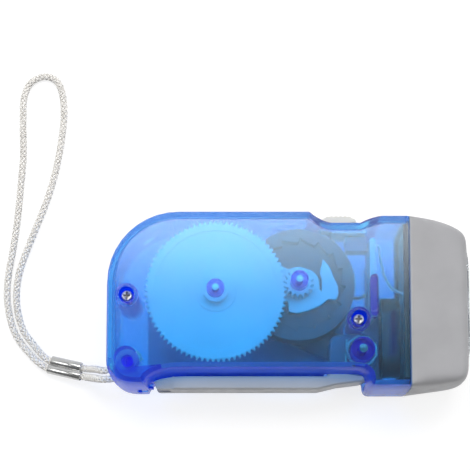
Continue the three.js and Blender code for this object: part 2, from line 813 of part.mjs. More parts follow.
function lockBlock() {
  const solid = block(
    lockBack - runningGap - casingWall, cornerEndX, tailBottomY - overrun, tailBottomY + lockBlockTop,
    leverLow, leverHigh,
  );
  return outerForm.intersect(solid);
}

function lockPocket() {
  const half = lockWidth / 2 + runningGap;
  const ribHalf = lockRibWidth / 2 + runningGap;
  const ribStart = lockBack + lockRibInset;
  return joined(
    block(
      lockBack - runningGap, cornerEndX + overrun, lockLow - seatGap, lockHigh + runningGap,
      partingZ - half, partingZ + half,
    ),
    block(
      ribStart - runningGap, ribStart + lockRibLength + lockTravel + runningGap, tailBottomY - overrun, lockLow,
      partingZ - ribHalf, partingZ + ribHalf,
    ),
  );
}

function leverSlot() {
  const low = leverLow - runningGap;
  const high = leverHigh + runningGap;
  const sweep = post(pivotX, pivotY, pivotY - bottomY - recessDepth * 0.45, low, high, roundSides);
  const below = block(
    pivotX - neckLeft - neckCorner, pivotX + hubRadius * 2, bottomY - overrun, pivotY, low, high,
  );
  const mouth = block(
    pivotX - neckLeft - neckCorner, seamX - noseBlockLength + runningGap * 2,
    bottomY - overrun, recessY + casingWall + runningGap, low, high,
  );
  return joined(sweep.intersect(below), mouth);
}

function switchWindow() {
  const start = knobX - runningGap;
  return block(
    start, start + knobLength + knobTravel + runningGap * 2,
    topY - scoopDepth - casingWall - overrun / 2, topY + overrun,
    partingZ - knobWidth / 2 - runningGap, partingZ + knobWidth / 2 + runningGap,
  );
}

function strapHole() {
  return block(
    tailX - overrun, tailX + tailBottomRadius * 0.7, strapHoleCentre - strapHoleHeight / 2,
    strapHoleCentre + strapHoleHeight / 2, partingZ - strapHoleWidth / 2, partingZ + strapHoleWidth / 2,
  );
}

const boardMiddle = (boardBottom + boardTop) / 2;
const boardQuarter = (boardTop - boardBottom) / 4;

function edgeRibs(near) {
  const inside = near ? nearInside : farInside;
  const batteryEdge = near ? partingZ + batteryRadius + runningGap : partingZ - batteryRadius - runningGap;
  const reach = near ? overrun / 2 : -overrun / 2;
  const upright = (x, width, y0, y1, edge) => block(
    x, x + width, y0, y1, Math.min(edge, inside + reach), Math.max(edge, inside + reach),
  );
  const batteryRib = upright(
    batteryX + batteryThickness / 2 - ribThickness / 2, ribThickness,
    batteryMiddle - batteryRadius, batteryMiddle + batteryRadius, batteryEdge,
  );
  const boardRib = upright(
    boardX, boardThickness, boardMiddle - boardQuarter, boardMiddle + boardQuarter,
    partingZ - boardDepth / 2 - runningGap,
  );
  return near ? [batteryRib] : [batteryRib, boardRib];
}

// The round-ended rib holds the board's near edge; the small one stiffens the top wall
function markRibs() {
  const markRibX = seamX - markRibBehindSeam;
  const markRibEdge = partingZ + boardDepth / 2 + runningGap;
  const stubRibX = tailX + stubRibFromTail;
  const upright = block(
    markRibX - markRibWidth / 2, markRibX + markRibWidth / 2, markRibLow + markRibWidth / 2,
    markRibHigh - markRibWidth / 2, markRibEdge, nearInside + overrun / 2,
  );
  const ends = [markRibLow + markRibWidth / 2, markRibHigh - markRibWidth / 2].map((y) => post(
    markRibX, y, markRibWidth / 2, markRibEdge, nearInside + overrun / 2, smallSides,
  ));
  const stubTop = topY - casingWall - crown - seatGap;
  const stem = block(
    stubRibX - stubRibWidth / 2, stubRibX + stubRibWidth / 2, stubTop - stubRibDepth, stubTop + crown,
    nearInside - bossFloor, nearInside + overrun / 2,
  );
  const head = block(
    stubRibX - stubRibHead / 2, stubRibX + stubRibHead / 2, stubTop - stubRibWidth / 2, stubTop + crown,
    nearInside - bossFloor, nearInside + overrun / 2,
  );
  return [joined(upright, ...ends), joined(stem, head)];
}

function casingHalf(near) {
  const z0 = near ? partingZ : -overrun;
  const z1 = near ? bodyThickness + overrun : partingZ;
  const inside = near ? nearInside : farInside;
  const reach = near ? overrun / 2 : -overrun / 2;
  const span = (radius, x, y, depth) => {
    const edge = near ? inside - depth : inside + depth;
    return post(x, y, radius, Math.min(edge, inside + reach), Math.max(edge, inside + reach), smallSides);
  };
  const room = slab(tailX - overrun, seamX, z0, z1);
  const hubRoom = post(pivotX, pivotY, hubRadius + runningGap, sectorLevel - runningGap, nearInside - bossFloor);
  const shell = cut(outerForm.intersect(room), innerForm.intersect(slab(tailX, seamX + overrun)), hubRoom);
  const pivotDepth = near ? nearInside - leverHigh - runningGap : sectorLevel - runningGap - farInside;
  const rotorDepth = near ? nearInside - rotorPinionTop - runningGap : seatGap;
  const bosses = [
    span(bossRadius, driveX, driveY, near ? bossFloor : sectorLevel - pinionOverlap - runningGap - farInside),
    span(pivotBossRadius, pivotX, pivotY, pivotDepth),
    span(strapBossRadius, strapPostX, strapPostY, (innerDepth - strapRoom) / 2),
    span(strapPostRadius, strapPostX, strapPostY, innerDepth / 2),
    screwBoss(rearScrewX, rearScrewY, rearBossRadius, near),
    screwBoss(frontScrewX, frontScrewY, bossRadius, near),
    ...edgeRibs(near),
  ];
  if (near) {
    bosses.push(span(bossRadius, rotorX, rotorY, rotorDepth), ...markRibs());
  }
  const corner = lockBlock().intersect(slab(tailX, seamX, z0, z1));
  const bore = (radius, x, y) => post(
    x, y, radius, near ? partingZ : inside - shaftSeat, near ? inside + shaftSeat : partingZ, smallSides,
  );
  return cut(
    joined(shell, corner, ...bosses),
    lockPocket(), leverSlot(), switchWindow(), strapHole(),
    screwHole(rearScrewX, rearScrewY), screwHole(frontScrewX, frontScrewY),
    bore(shaftRadius + seatGap, driveX, driveY), bore(shaftRadius + seatGap, rotorX, rotorY),
    bore(pinRadius + seatGap, pivotX, pivotY),
  );
}

// Tray: a flat moulding on the far half's floor, with a lip along its upper edge
function gearTray() {
  const end = batteryX + batteryThickness / 2 - ribThickness / 2 - runningGap;
  const top = boardMiddle - boardQuarter - runningGap;
  const low = farInside + seatGap;
  const high = low + trayThickness;
  const start = tailX + trayFromTail;
  const room = crownedInner(casingWall + runningGap);
  const flat = block(start, end, bottomY, top, low, high);
  const lip = block(start, end, top - trayLip, top, high - seatGap, high + trayLipHeight);
  const hole = (x, y, radius) => post(x, y, radius + runningGap, low - overrun, high + overrun, smallSides);
  return cut(
    room.intersect(joined(flat, lip)),
    hole(driveX, driveY, bossRadius), hole(rotorX, rotorY, footRadius),
    hole(pivotX, pivotY, pivotBossRadius), hole(frontScrewX, frontScrewY, bossRadius),
  );
}

// Head: its side view narrows to the face, and the hollow's view lies inside it
function headProfile(inset) {
  const rear = seamX - skirtLength - overrun;
  const bend = bezelFace - headRound;
  const narrowed = (headTaper * (bend - seamX)) / (bezelFace - seamX) + inset;
  const start = inset > 0 ? [[rear, inset]] : [[rear, -overrun], [seamX, -overrun]];
  const low = [...start, [seamX, inset], [bend, narrowed], [bezelFace, narrowed + headRound]];
  return polygon([...low, ...low.map(([x, z]) => [x, bodyThickness - z]).reverse()]);
}

function wedgeAlongY(shape) {
  const geometry = new THREE.ExtrudeGeometry(shape, { depth: bodyHeight + 2 * overrun, bevelEnabled: false });
  geometry.rotateX(Math.PI / 2);
  geometry.translate(0, bodyHeight / 2 + overrun, 0);
  return solidOf(geometry);
}

const windowHighest = noseTopY - headTopFall;
const windowLowest = bottomY + headBottomCorner;
const windowY = (windowHighest + windowLowest) / 2;
const windowWidth = windowHighest - windowLowest - windowMargin * 2;
const windowDepth = bodyThickness - windowFaceMargin * 2;
const lampSpacing = windowWidth / 3;
const bezelFace = frontX - bezelFrontSetback;
const lensX = bezelFace - lensEdge;
const reflectorX = lensX - runningGap - reflectorLength;

function windowShape(extra) {
  return roundedRectangle(windowWidth + extra * 2, windowDepth + extra * 2, windowRadius + extra);
}

function alongX(shape, x0, x1) {
  const geometry = new THREE.ExtrudeGeometry(shape, { depth: x1 - x0, bevelEnabled: false, curveSegments: 4 });
  geometry.rotateX(Math.PI / 2);
  geometry.rotateZ(Math.PI / 2);
  geometry.translate(x0, windowY, partingZ);
  return solidOf(geometry);
}

function headBezel() {
  const outer = outerForm.intersect(slab(seamX + seatGap, frontX)).intersect(wedgeAlongY(headProfile(0)));
  const skirtOuter = crownedInner(casingWall + runningGap);
  const skirt = skirtOuter.intersect(slab(seamX - skirtLength, seamX + casingWall));
  const hollow = crownedInner(headWall)
    .intersect(slab(seamX - skirtLength - overrun, lensX - lensEdge))
    .intersect(wedgeAlongY(headProfile(headWall)));
  return cut(
    joined(outer, skirt), hollow,
    alongX(windowShape(0), lensX - lensEdge - overrun, frontX + overrun),
    alongX(windowShape(lensLip), lensX, frontX + overrun),
  );
}

function frontLens() {
  const edge = lensLip - seatGap * 2;
  const rim = windowShape(edge).getPoints(lensSteps);
  const points = rim.slice(0, -1).filter((p, i, all) => p.distanceTo(all[(i + 1) % all.length]) > seatGap);
  const dome = stacked(points, [
    [lensX, 0], [bezelFace, 0], [bezelFace + lensDome * 0.5, lensEdge], [bezelFace + bezelFrontSetback, lensEdge * 3],
  ]);
  return geometryOf(dome);
}

// Turns a solid drawn with its axis along Z, at the outline's centre, to look along X
function turnedToFront(geometry) {
  geometry.rotateX(Math.PI / 2);
  geometry.rotateZ(Math.PI / 2);
  geometry.translate(0, windowY, partingZ);
  return geometry;
}

function reflector() {
  const body = alongX(windowShape(-runningGap), reflectorX, lensX - runningGap);
  const bowls = [-1, 0, 1].map((k) => rod(
    windowY + k * lampSpacing, partingZ, lampRadius + runningGap, reflectorX - seatGap, lensX - runningGap + seatGap,
    smallSides, lampSpacing / 2 - bowlRim,
  ));
  return cut(body, ...bowls);
}

function lamp(k) {
  const y = windowY + k * lampSpacing;
  const length = lampLength - lampRadius;
  const profile = [new THREE.Vector2(0, 0), new THREE.Vector2(lampRadius, 0), new THREE.Vector2(lampRadius, length)];
  for (let i = 1; i <= 4; i += 1) {
    const angle = (i * Math.PI) / 8;
    const across = i === 4 ? 0 : lampRadius * Math.cos(angle);
    profile.push(new THREE.Vector2(across, length + lampRadius * Math.sin(angle)));
  }
  const geometry = new THREE.LatheGeometry(profile, lampSides);
  geometry.rotateZ(-Math.PI / 2);
  geometry.translate(reflectorX, y, partingZ);
  return geometry;
}

function ledBoard() {
  return alongX(windowShape(-runningGap), reflectorX - ledBoardThickness, reflectorX);
}

// Switch
function switchKnob() {
  const start = knobX;
  const floor = topY - scoopDepth;
  const under = floor - casingWall - runningGap;
  const capLow = topY - knobUnderside;
  const z0 = partingZ - knobWidth / 2;
  const z1 = partingZ + knobWidth / 2;
  const cap = block(start, start + knobLength, capLow, topY - seatGap, z0, z1);
  const stemX = start + knobStemInset;
  const stem = block(stemX, start + knobLength, under - knobFlangeThickness / 2, capLow + overrun / 2, z0, z1);
  const flange = block(
    stemX, start + knobLength + knobFlangeOverlap, under - knobFlangeThickness, under,
    z0 - knobFlangeMargin, z1 + knobFlangeMargin,
  );
  const tongueX = switchX + knobTongue;
  const tongue = block(
    tongueX, tongueX + knobTongue, under - knobFlangeThickness - knobTongueDrop, under - knobFlangeThickness / 2,
    partingZ - knobTongueWidth / 2, partingZ + knobTongueWidth / 2,
  );
  const pitch = knobLength / (knobGrooves + 1);
  const grooves = [];
  for (let i = 1; i <= knobGrooves; i += 1) {
    const x = start + i * pitch;
    grooves.push(block(
      x - knobGrooveWidth / 2, x + knobGrooveWidth / 2, topY - knobGrooveDepth, topY + overrun,
      z0 - overrun, z1 + overrun,
    ));
  }
  return cut(joined(cap, stem, flange, tongue), ...grooves);
}

function slideSwitch() {
  const under = topY - scoopDepth - casingWall - runningGap - knobFlangeThickness;
  const top = under - runningGap;
  const start = switchX;
  const body = block(
    start, start + switchLength, top - switchHeight, top, partingZ - switchWidth / 2, partingZ + switchWidth / 2,
  );
  const tongueX = start + knobTongue;
  const slot = block(
    tongueX - runningGap,
    Math.min(tongueX + knobTongue + knobTravel + runningGap, start + switchLength - seatGap * 4),
    top - switchSlotDepth, top + overrun,
    partingZ - knobTongueWidth / 2 - runningGap, partingZ + knobTongueWidth / 2 + runningGap,
  );
  return cut(body, slot);
}

// Circuit and battery
function circuitBoard() {
  const z0 = partingZ - boardDepth / 2;
  const z1 = partingZ + boardDepth / 2;
  const slab0 = block(boardX, boardX + boardThickness, boardBottom, boardTop, z0, z1);
  const middle = (boardBottom + boardTop) / 2;
  const chip = block(
    boardX + boardThickness - seatGap, boardX + boardThickness + chipHeight, middle - chipSize, middle,
    partingZ - chipSize / 2, partingZ + chipSize / 2,
  );
  return joined(slab0, chip);
}

function batteryPack() {
  const shape = roundedRectangle(batteryLength, batteryRadius * 2, batteryRadius - seatGap);
  const geometry = new THREE.ExtrudeGeometry(shape, {
    depth: batteryThickness, bevelEnabled: false, curveSegments: 6,
  });
  geometry.rotateX(Math.PI / 2);
  geometry.rotateZ(Math.PI / 2);
  geometry.translate(batteryX, batteryMiddle, partingZ);
  return geometry;
}

function lampLead() {
  const z = partingZ + lampLeadSide;
  const start = boardX + boardThickness + leadRadius + seatGap;
  const end = reflectorX - ledBoardThickness - seatGap * 2;
  const over = batteryBottom + batteryLength + leadClearance;
  const room = boardTop - over;
  return tube([
    [start, boardTop - leadRadius * 2, z], [start + leadRadius * 1.5, boardTop - leadRadius, z],
    [start + leadBend, over + room * 0.62, z], [start + leadBend * 1.6, over + room * 0.3, z],
    [batteryX + batteryThickness * 0.7, over, z], [batteryX + batteryThickness + leadBend, over - leadBend, z],
    [end - leadBend, windowY + leadBend, z], [end, windowY + leadBend, z],
  ], leadRadius, leadSides);
}

function coilLead() {
  const start = rotorX + footRadius + leadRadius * 1.5;
  const end = boardX - leadRadius - seatGap * 2;
  const low = farInside + leadBend * 0.85;
  const run = end - start;
  return tube([
    [start, rotorY, low], [start + run * 0.28, rotorY - leadRadius, low - leadRadius / 2],
    [start + run * 0.6, rotorY - leadBend * 0.7, low], [end - leadBend, rotorY - leadBend, low + leadBend],
    [end, rotorY - leadBend, partingZ - boardDepth / 2 + leadBend * 0.9],
    [end, rotorY - leadBend, partingZ - boardDepth / 2 + leadBend * 2],
  ], leadRadius, leadSides);
}

function screw(x, y) {
  const seat = bodyThickness - screwRecess - screwHeadHeight;
  const head = post(x, y, screwHeadRadius, seat, seat + screwHeadHeight, smallSides, screwHeadRadius * 0.86);
  const shank = post(x, y, screwShank, farInside + screwFloor, seat + seatGap, smallSides);
  const top = seat + screwHeadHeight;
  const slots = [[crossLength, crossWidth], [crossWidth, crossLength]].map(([w, h]) => block(
    x - w / 2, x + w / 2, y - h / 2, y + h / 2, top - crossDepth, top + overrun,
  ));
  return cut(joined(head, shank), ...slots);
}

function lockSlide() {
  const z0 = partingZ - lockWidth / 2;
  const z1 = partingZ + lockWidth / 2;
  const ribStart = lockBack + lockRibInset;
  const body = block(lockBack, lockFront - lockReach - runningGap, lockLow, lockHigh, z0, z1);
  const tongue = block(
    lockBack, lockFront, lockLow, lockLow + lockTongueHeight,
    partingZ - lockTongueWidth / 2, partingZ + lockTongueWidth / 2,
  );
  const rib = block(
    ribStart, ribStart + lockRibLength, tailBottomY - lockRibDrop / 2, lockLow + seatGap,
    partingZ - lockRibWidth / 2, partingZ + lockRibWidth / 2,
  );
  return joined(body, tongue, rib);
}

// Strap: picked places of the cord, from the post out to the loop and back; inside the ferrule
// the two strands lie side by side
const ferruleMiddle = new THREE.Vector3(-66.1, -16.9, 3.7);
const ferruleAlong = new THREE.Vector3(-10.8, 2.7, -2.6).normalize();
const ferruleAcross = new THREE.Vector3(0, 0, 1).cross(ferruleAlong).normalize();
const strapStart = [
  [-43.1, -16.2, 18], [-44.2, -14.2, 18], [-46.4, -13.6, 18], [-48.8, -14.6, 18], [-49.8, -16.9, 18],
  [-51.4, -18.5, 17.9], [-53.6, -18.9, 16.6], [-56.4, -18, 11.6],
];
const strapLoop = [
  [-76.3, -9.3, 1.5], [-79.4, -4.9, 1.3], [-81.3, 1.8, 1.3], [-81.5, 7.6, 1.3], [-80.6, 13.2, 1.3],
  [-78.9, 18.6, 1.3], [-76.4, 25.2, 1.3], [-71.8, 38.1, 1.3], [-68.8, 52.5, 1.3], [-68.1, 64.5, 1.3],
  [-69.7, 71.3, 1.3], [-71.9, 73.3, 1.3], [-75, 73.7, 1.3], [-78.4, 71.8, 1.3], [-80.3, 67.7, 1.3],
  [-80.6, 59.1, 1.3], [-80.3, 49.1, 1.3], [-80.9, 39.3, 1.3], [-81.8, 28, 1.3], [-82.8, 20, 1.3],
  [-83.8, 14, 1.3], [-84.4, 8.1, 1.3], [-84.1, 2.3, 1.3], [-81.9, -5.8, 1.3], [-78, -11.4, 1.5],
];
const strapEnd = [
  [-56.7, -20.7, 11.6], [-53.9, -21.4, 16.4], [-51.2, -21.4, 17.9], [-49, -20.7, 18], [-46.8, -20.25, 18],
  [-44.5, -19.7, 18], [-43.2, -18.3, 18],
];

function ferrulePoints(side, from, to) {
  const reach = ferruleLength / 2 + ferruleWall * 2;
  return [from, 0, to].map((share) => ferruleMiddle.clone()
    .addScaledVector(ferruleAlong, reach * share)
    .addScaledVector(ferruleAcross, (side * strapSpacing) / 2)
    .toArray());
}

function wristStrap() {
  const upper = ferrulePoints(-1, -1, 1);
  const lower = ferrulePoints(1, 1, -1);
  const points = [...strapStart, ...upper, ...strapLoop, ...lower, ...strapEnd];
  return tube(points, strapDiameter / 2, cordSides, strapSteps);
}

function strapFerrule() {
  const width = strapSpacing + strapDiameter + ferruleWall * 2 + runningGap * 2;
  const height = strapDiameter + ferruleWall * 2 + runningGap * 2;
  const make = (thinner, length) => {
    const shape = roundedRectangle(width - thinner, height - thinner, (height - thinner) / 2 - seatGap);
    const geometry = new THREE.ExtrudeGeometry(shape, { depth: length, bevelEnabled: false, curveSegments: 4 });
    geometry.translate(0, 0, -length / 2);
    return solidOf(geometry);
  };
  const sleeve = geometryOf(cut(make(0, ferruleLength), make(ferruleWall * 2, ferruleLength + overrun)));
  const up = new THREE.Vector3().crossVectors(ferruleAlong, ferruleAcross);
  sleeve.applyMatrix4(new THREE.Matrix4().makeBasis(ferruleAcross, up, ferruleAlong).setPosition(ferruleMiddle));
  return sleeve;
}

// The assembly
const flashlight = new THREE.Group();

function add(group, name, form, colour, roughness, metalness, position = [0, 0, 0]) {
  const geometry = form instanceof THREE.BufferGeometry ? form : geometryOf(form);
  const material = new THREE.MeshStandardMaterial({ color: colour, roughness, metalness });
  const piece = new THREE.Mesh(geometry, material);
  piece.name = name;
  piece.position.set(...position);
  group.add(piece);
  return piece;
}

const casingBlue = 0x2f6fc4;
const steel = 0xc9ccd0;
const satinGrey = 0xa9aab0;

const casing = new THREE.Group();
add(casing, "near_shell", casingHalf(true), casingBlue, 0.15, 0);
add(casing, "far_shell", casingHalf(false), casingBlue, 0.15, 0);
add(casing, "screw_rear", screw(rearScrewX, rearScrewY), steel, 0.3, 1);
add(casing, "screw_front", screw(frontScrewX, frontScrewY), steel, 0.3, 1);
add(casing, "lock_slide", lockSlide(), casingBlue, 0.3, 0);
add(casing, "gear_tray", gearTray(), 0x8e9196, 0.5, 0);
flashlight.add(casing);

const head = new THREE.Group();
add(head, "head_bezel", headBezel(), satinGrey, 0.45, 0.1);
add(head, "front_lens", turnedToFront(frontLens()), 0xe8f1f5, 0.05, 0);
add(head, "reflector", reflector(), 0xd8dadd, 0.12, 0.9);
add(head, "led_board", ledBoard(), 0xe6e7e2, 0.6, 0);
add(head, "led_lower", lamp(-1), 0xf4f6f2, 0.1, 0);
add(head, "led_middle", lamp(0), 0xf4f6f2, 0.1, 0);
add(head, "led_upper", lamp(1), 0xf4f6f2, 0.1, 0);
flashlight.add(head);

const controls = new THREE.Group();
add(controls, "switch_knob", switchKnob(), 0xf0efee, 0.45, 0);
add(controls, "slide_switch", slideSwitch(), 0xe3e6e6, 0.5, 0);
add(controls, "circuit_board", circuitBoard(), 0xcfd8dc, 0.5, 0);
add(controls, "battery_pack", batteryPack(), 0x232b4a, 0.4, 0);
flashlight.add(controls);

const drive = new THREE.Group();
const shaftLow = farInside - shaftSeat + seatGap;
const shaftHigh = nearInside + shaftSeat - seatGap;
const shaft = () => post(0, 0, shaftRadius, shaftLow, shaftHigh, smallSides);
const clawHigh = upperPlateLow + statorPlate;
add(drive, "lever", lever(), satinGrey, 0.45, 0.1, [pivotX, pivotY, 0]);
add(drive, "lever_pin", post(0, 0, pinRadius, shaftLow, shaftHigh, smallSides), steel, 0.3, 1, [pivotX, pivotY, 0]);
add(drive, "lever_spring", torsionSpring(), steel, 0.3, 1, [pivotX, pivotY, 0]);
add(drive, "drive_gear", driveGear(), 0xe9f0f2, 0.4, 0, [driveX, driveY, 0]);
add(drive, "drive_shaft", shaft(), steel, 0.3, 1, [driveX, driveY, 0]);
flashlight.add(drive);

const dynamo = new THREE.Group();
dynamo.position.set(rotorX, rotorY, 0);
add(dynamo, "rotor_pinion", rotorPinion(), 0xe9f0f2, 0.4, 0);
add(dynamo, "rotor_shaft", shaft(), steel, 0.3, 1);
add(dynamo, "flywheel", flywheel(), 0x4a5563, 0.4, 0.6);
add(dynamo, "ring_magnet", ring(magnetInner, magnetOuter, magnetLow, magnetHigh), 0x33363b, 0.5, 0.3);
add(dynamo, "coil_bobbin", coilBobbin(), 0xe8e6dc, 0.5, 0);
add(dynamo, "stator_coil", ring(bobbinTube + seatGap, coilRadius - seatGap, coilLow, coilHigh), 0xb06a34, 0.35, 0.8);
add(
  dynamo, "stator_plate_far",
  clawPlate(statorLevel, statorLevel + statorPlate, statorLevel, bobbinHigh - seatGap * 2, 0), steel, 0.4, 0.9,
);
add(
  dynamo, "stator_plate_near",
  clawPlate(upperPlateLow, clawHigh, bobbinLow + seatGap * 2, clawHigh, Math.PI / clawCount),
  steel, 0.4, 0.9,
);
flashlight.add(dynamo);

const leads = new THREE.Group();
add(leads, "lamp_lead", lampLead(), 0xf2f2f0, 0.5, 0);
add(leads, "coil_lead", coilLead(), 0xb06a34, 0.4, 0.3);
flashlight.add(leads);

const strap = new THREE.Group();
add(strap, "wrist_strap", wristStrap(), 0xd7d8da, 0.7, 0);
add(strap, "strap_ferrule", strapFerrule(), 0xd9dbde, 0.15, 1);
flashlight.add(strap);

export default flashlight;
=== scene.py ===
import math

import bmesh
import bpy
from mathutils import Matrix, Vector


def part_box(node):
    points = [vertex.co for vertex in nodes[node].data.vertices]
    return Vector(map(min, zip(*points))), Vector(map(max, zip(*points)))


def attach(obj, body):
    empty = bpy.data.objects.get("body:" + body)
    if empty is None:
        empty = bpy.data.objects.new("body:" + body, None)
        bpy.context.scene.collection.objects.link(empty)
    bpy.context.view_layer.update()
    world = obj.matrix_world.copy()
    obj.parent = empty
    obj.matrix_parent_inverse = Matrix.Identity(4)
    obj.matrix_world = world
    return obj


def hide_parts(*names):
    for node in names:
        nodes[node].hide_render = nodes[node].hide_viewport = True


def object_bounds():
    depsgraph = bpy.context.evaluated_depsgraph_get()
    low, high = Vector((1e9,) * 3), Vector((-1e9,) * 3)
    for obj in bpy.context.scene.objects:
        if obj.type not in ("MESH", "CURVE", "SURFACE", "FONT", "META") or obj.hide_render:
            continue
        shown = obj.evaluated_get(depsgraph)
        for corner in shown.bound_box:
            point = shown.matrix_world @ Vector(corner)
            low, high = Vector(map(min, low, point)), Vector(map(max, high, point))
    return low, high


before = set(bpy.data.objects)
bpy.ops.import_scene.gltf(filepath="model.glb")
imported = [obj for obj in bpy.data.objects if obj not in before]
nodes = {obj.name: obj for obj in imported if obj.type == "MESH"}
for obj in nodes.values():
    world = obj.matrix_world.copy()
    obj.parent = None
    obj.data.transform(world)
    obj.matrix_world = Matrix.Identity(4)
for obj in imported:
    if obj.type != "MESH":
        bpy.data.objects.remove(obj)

# A squeeze lever flashlight lies on a white table, and the camera looks down on it, leaning a
# little towards the lever. Blender gets metres throughout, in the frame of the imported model. The
# strap with its braid and ferrule, and the casing's outline, are given in millimetres, and MM
# turns them to metres where they are used.
cad_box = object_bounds()
MM = 0.001

# Camera
picture_side = 470
focal_pixels = 1870
sensor_width = 36
far_clip = 20
camera_lean = math.radians(9.8)
camera_place = (-0.0153, -0.0730, 0.5632)

lens = bpy.data.cameras.new("camera")
lens.sensor_width = sensor_width
lens.lens = sensor_width * focal_pixels / picture_side
lens.clip_end = far_clip
camera = bpy.data.objects.new("camera", lens)
camera.location = camera_place
camera.rotation_euler = (camera_lean, 0, 0)
bpy.context.scene.collection.objects.link(camera)
bpy.context.scene.camera = camera

# Strap route: the given places of the cord, in millimetres, as in the part's source
strap_start = [
    (-43.1, -16.2, 18), (-44.2, -14.2, 18), (-46.4, -13.6, 18), (-48.8, -14.6, 18), (-49.8, -16.9, 18),
    (-51.4, -18.5, 17.9), (-53.6, -18.9, 16.6), (-56.4, -18, 11.6),
]
strap_loop = [
    (-76.3, -9.3, 1.5), (-79.4, -4.9, 1.3), (-81.3, 1.8, 1.3), (-81.5, 7.6, 1.3), (-80.6, 13.2, 1.3),
    (-78.9, 18.6, 1.3), (-76.4, 25.2, 1.3), (-71.8, 38.1, 1.3), (-68.8, 52.5, 1.3), (-68.1, 64.5, 1.3),
    (-69.7, 71.3, 1.3), (-71.9, 73.3, 1.3), (-75, 73.7, 1.3), (-78.4, 71.8, 1.3), (-80.3, 67.7, 1.3),
    (-80.6, 59.1, 1.3), (-80.3, 49.1, 1.3), (-80.9, 39.3, 1.3), (-81.8, 28, 1.3), (-82.8, 20, 1.3),
    (-83.8, 14, 1.3), (-84.4, 8.1, 1.3), (-84.1, 2.3, 1.3), (-81.9, -5.8, 1.3), (-78, -11.4, 1.5),
]
strap_end = [
    (-56.7, -20.7, 11.6), (-53.9, -21.4, 16.4), (-51.2, -21.4, 17.9), (-49, -20.7, 18), (-46.8, -20.25, 18),
    (-44.5, -19.7, 18), (-43.2, -18.3, 18),
]
ferrule_middle = Vector((-66.1, -16.9, 3.7))
ferrule_along = Vector((-10.8, 2.7, -2.6)).normalized()
ferrule_across = Vector((0, 0, 1)).cross(ferrule_along).normalized()
ferrule_length = 10.6
ferrule_wall = 0.35
strand_spacing = 2.5
strap_diameter = 2.3
strap_step = 0.26
curve_steps = 40


def ferrule_points(side, shares):
    """Places of one strand inside the ferrule."""
    reach = ferrule_length / 2 + ferrule_wall * 2
    return [
        ferrule_middle + ferrule_along * reach * share + ferrule_across * side * strand_spacing / 2
        for share in shares
    ]


def smooth_route(points):
    """A centripetal curve through the points, in steps of about strap_step, and its length."""
    places = [Vector(p) for p in points]
    places = [places[0] * 2 - places[1], *places, places[-1] * 2 - places[-2]]
    fine = []
    for a, b, c, d in zip(places, places[1:], places[2:], places[3:]):
        ab, bc, cd = ((q - p).length ** 0.5 for p, q in ((a, b), (b, c), (c, d)))
        leave = ((b - a) / ab - (c - a) / (ab + bc) + (c - b) / bc) * bc
        reach = ((c - b) / bc - (d - b) / (bc + cd) + (d - c) / cd) * bc
        for k in range(curve_steps):
            t = k / curve_steps
            fine.append(
                b + leave * t + (c * 3 - b * 3 - leave * 2 - reach) * t ** 2
                + (b * 2 - c * 2 + leave + reach) * t ** 3
            )
    fine.append(places[-2])
    lengths = [0.0]
    for p, q in zip(fine, fine[1:]):
        lengths.append(lengths[-1] + (q - p).length)
    count = round(lengths[-1] / strap_step)
    route, at = [], 0
    for k in range(count + 1):
        target = lengths[-1] * k / count
        while at + 2 < len(fine) and lengths[at + 1] < target:
            at += 1
        run = lengths[at + 1] - lengths[at]
        route.append(fine[at].lerp(fine[at + 1], (target - lengths[at]) / run if run else 0))
    return route, lengths[-1]


strap_route, strap_length = smooth_route([
    *strap_start, *ferrule_points(-1, (-1, 0, 1)), *strap_loop, *ferrule_points(1, (1, 0, -1)), *strap_end,
])


def linear(code, alpha=1.0):
    """The linear colour of an sRGB hex value."""
    parts = [int(code[i : i + 2], 16) / 255 for i in (1, 3, 5)]
    return (*(p / 12.92 if p <= 0.04045 else ((p + 0.055) / 1.055) ** 2.4 for p in parts), alpha)


def grey(value):
    """A linear grey."""
    return (value, value, value, 1)


def add_node(tree, kind, feeds=None, stops=(), **settings):
    """A shader node with its settings and links, and on a colour ramp its (place, colour) stops.

    feeds maps a socket to its value, or to the socket that feeds it.
    """
    made = tree.nodes.new(kind)
    for name, value in settings.items():
        setattr(made, name, value)
    for name, value in (feeds or {}).items():
        if isinstance(value, bpy.types.NodeSocket):
            tree.links.new(value, made.inputs[name])
        else:
            made.inputs[name].default_value = value
    if stops:
        points = made.color_ramp.elements
        while len(points) < len(stops):
            points.new(0.5)
        for point, (at, colour) in zip(points, stops):
            point.position = at
            point.color = colour
    return made


def new_material(name):
    """An empty node material and its tree."""
    made = bpy.data.materials.new(name)
    made.use_nodes = True
    made.node_tree.nodes.clear()
    return made, made.node_tree


def per_mm(size):
    """The scale that gives a pattern this size in millimetres on Object coordinates."""
    return 1 / (size * MM)


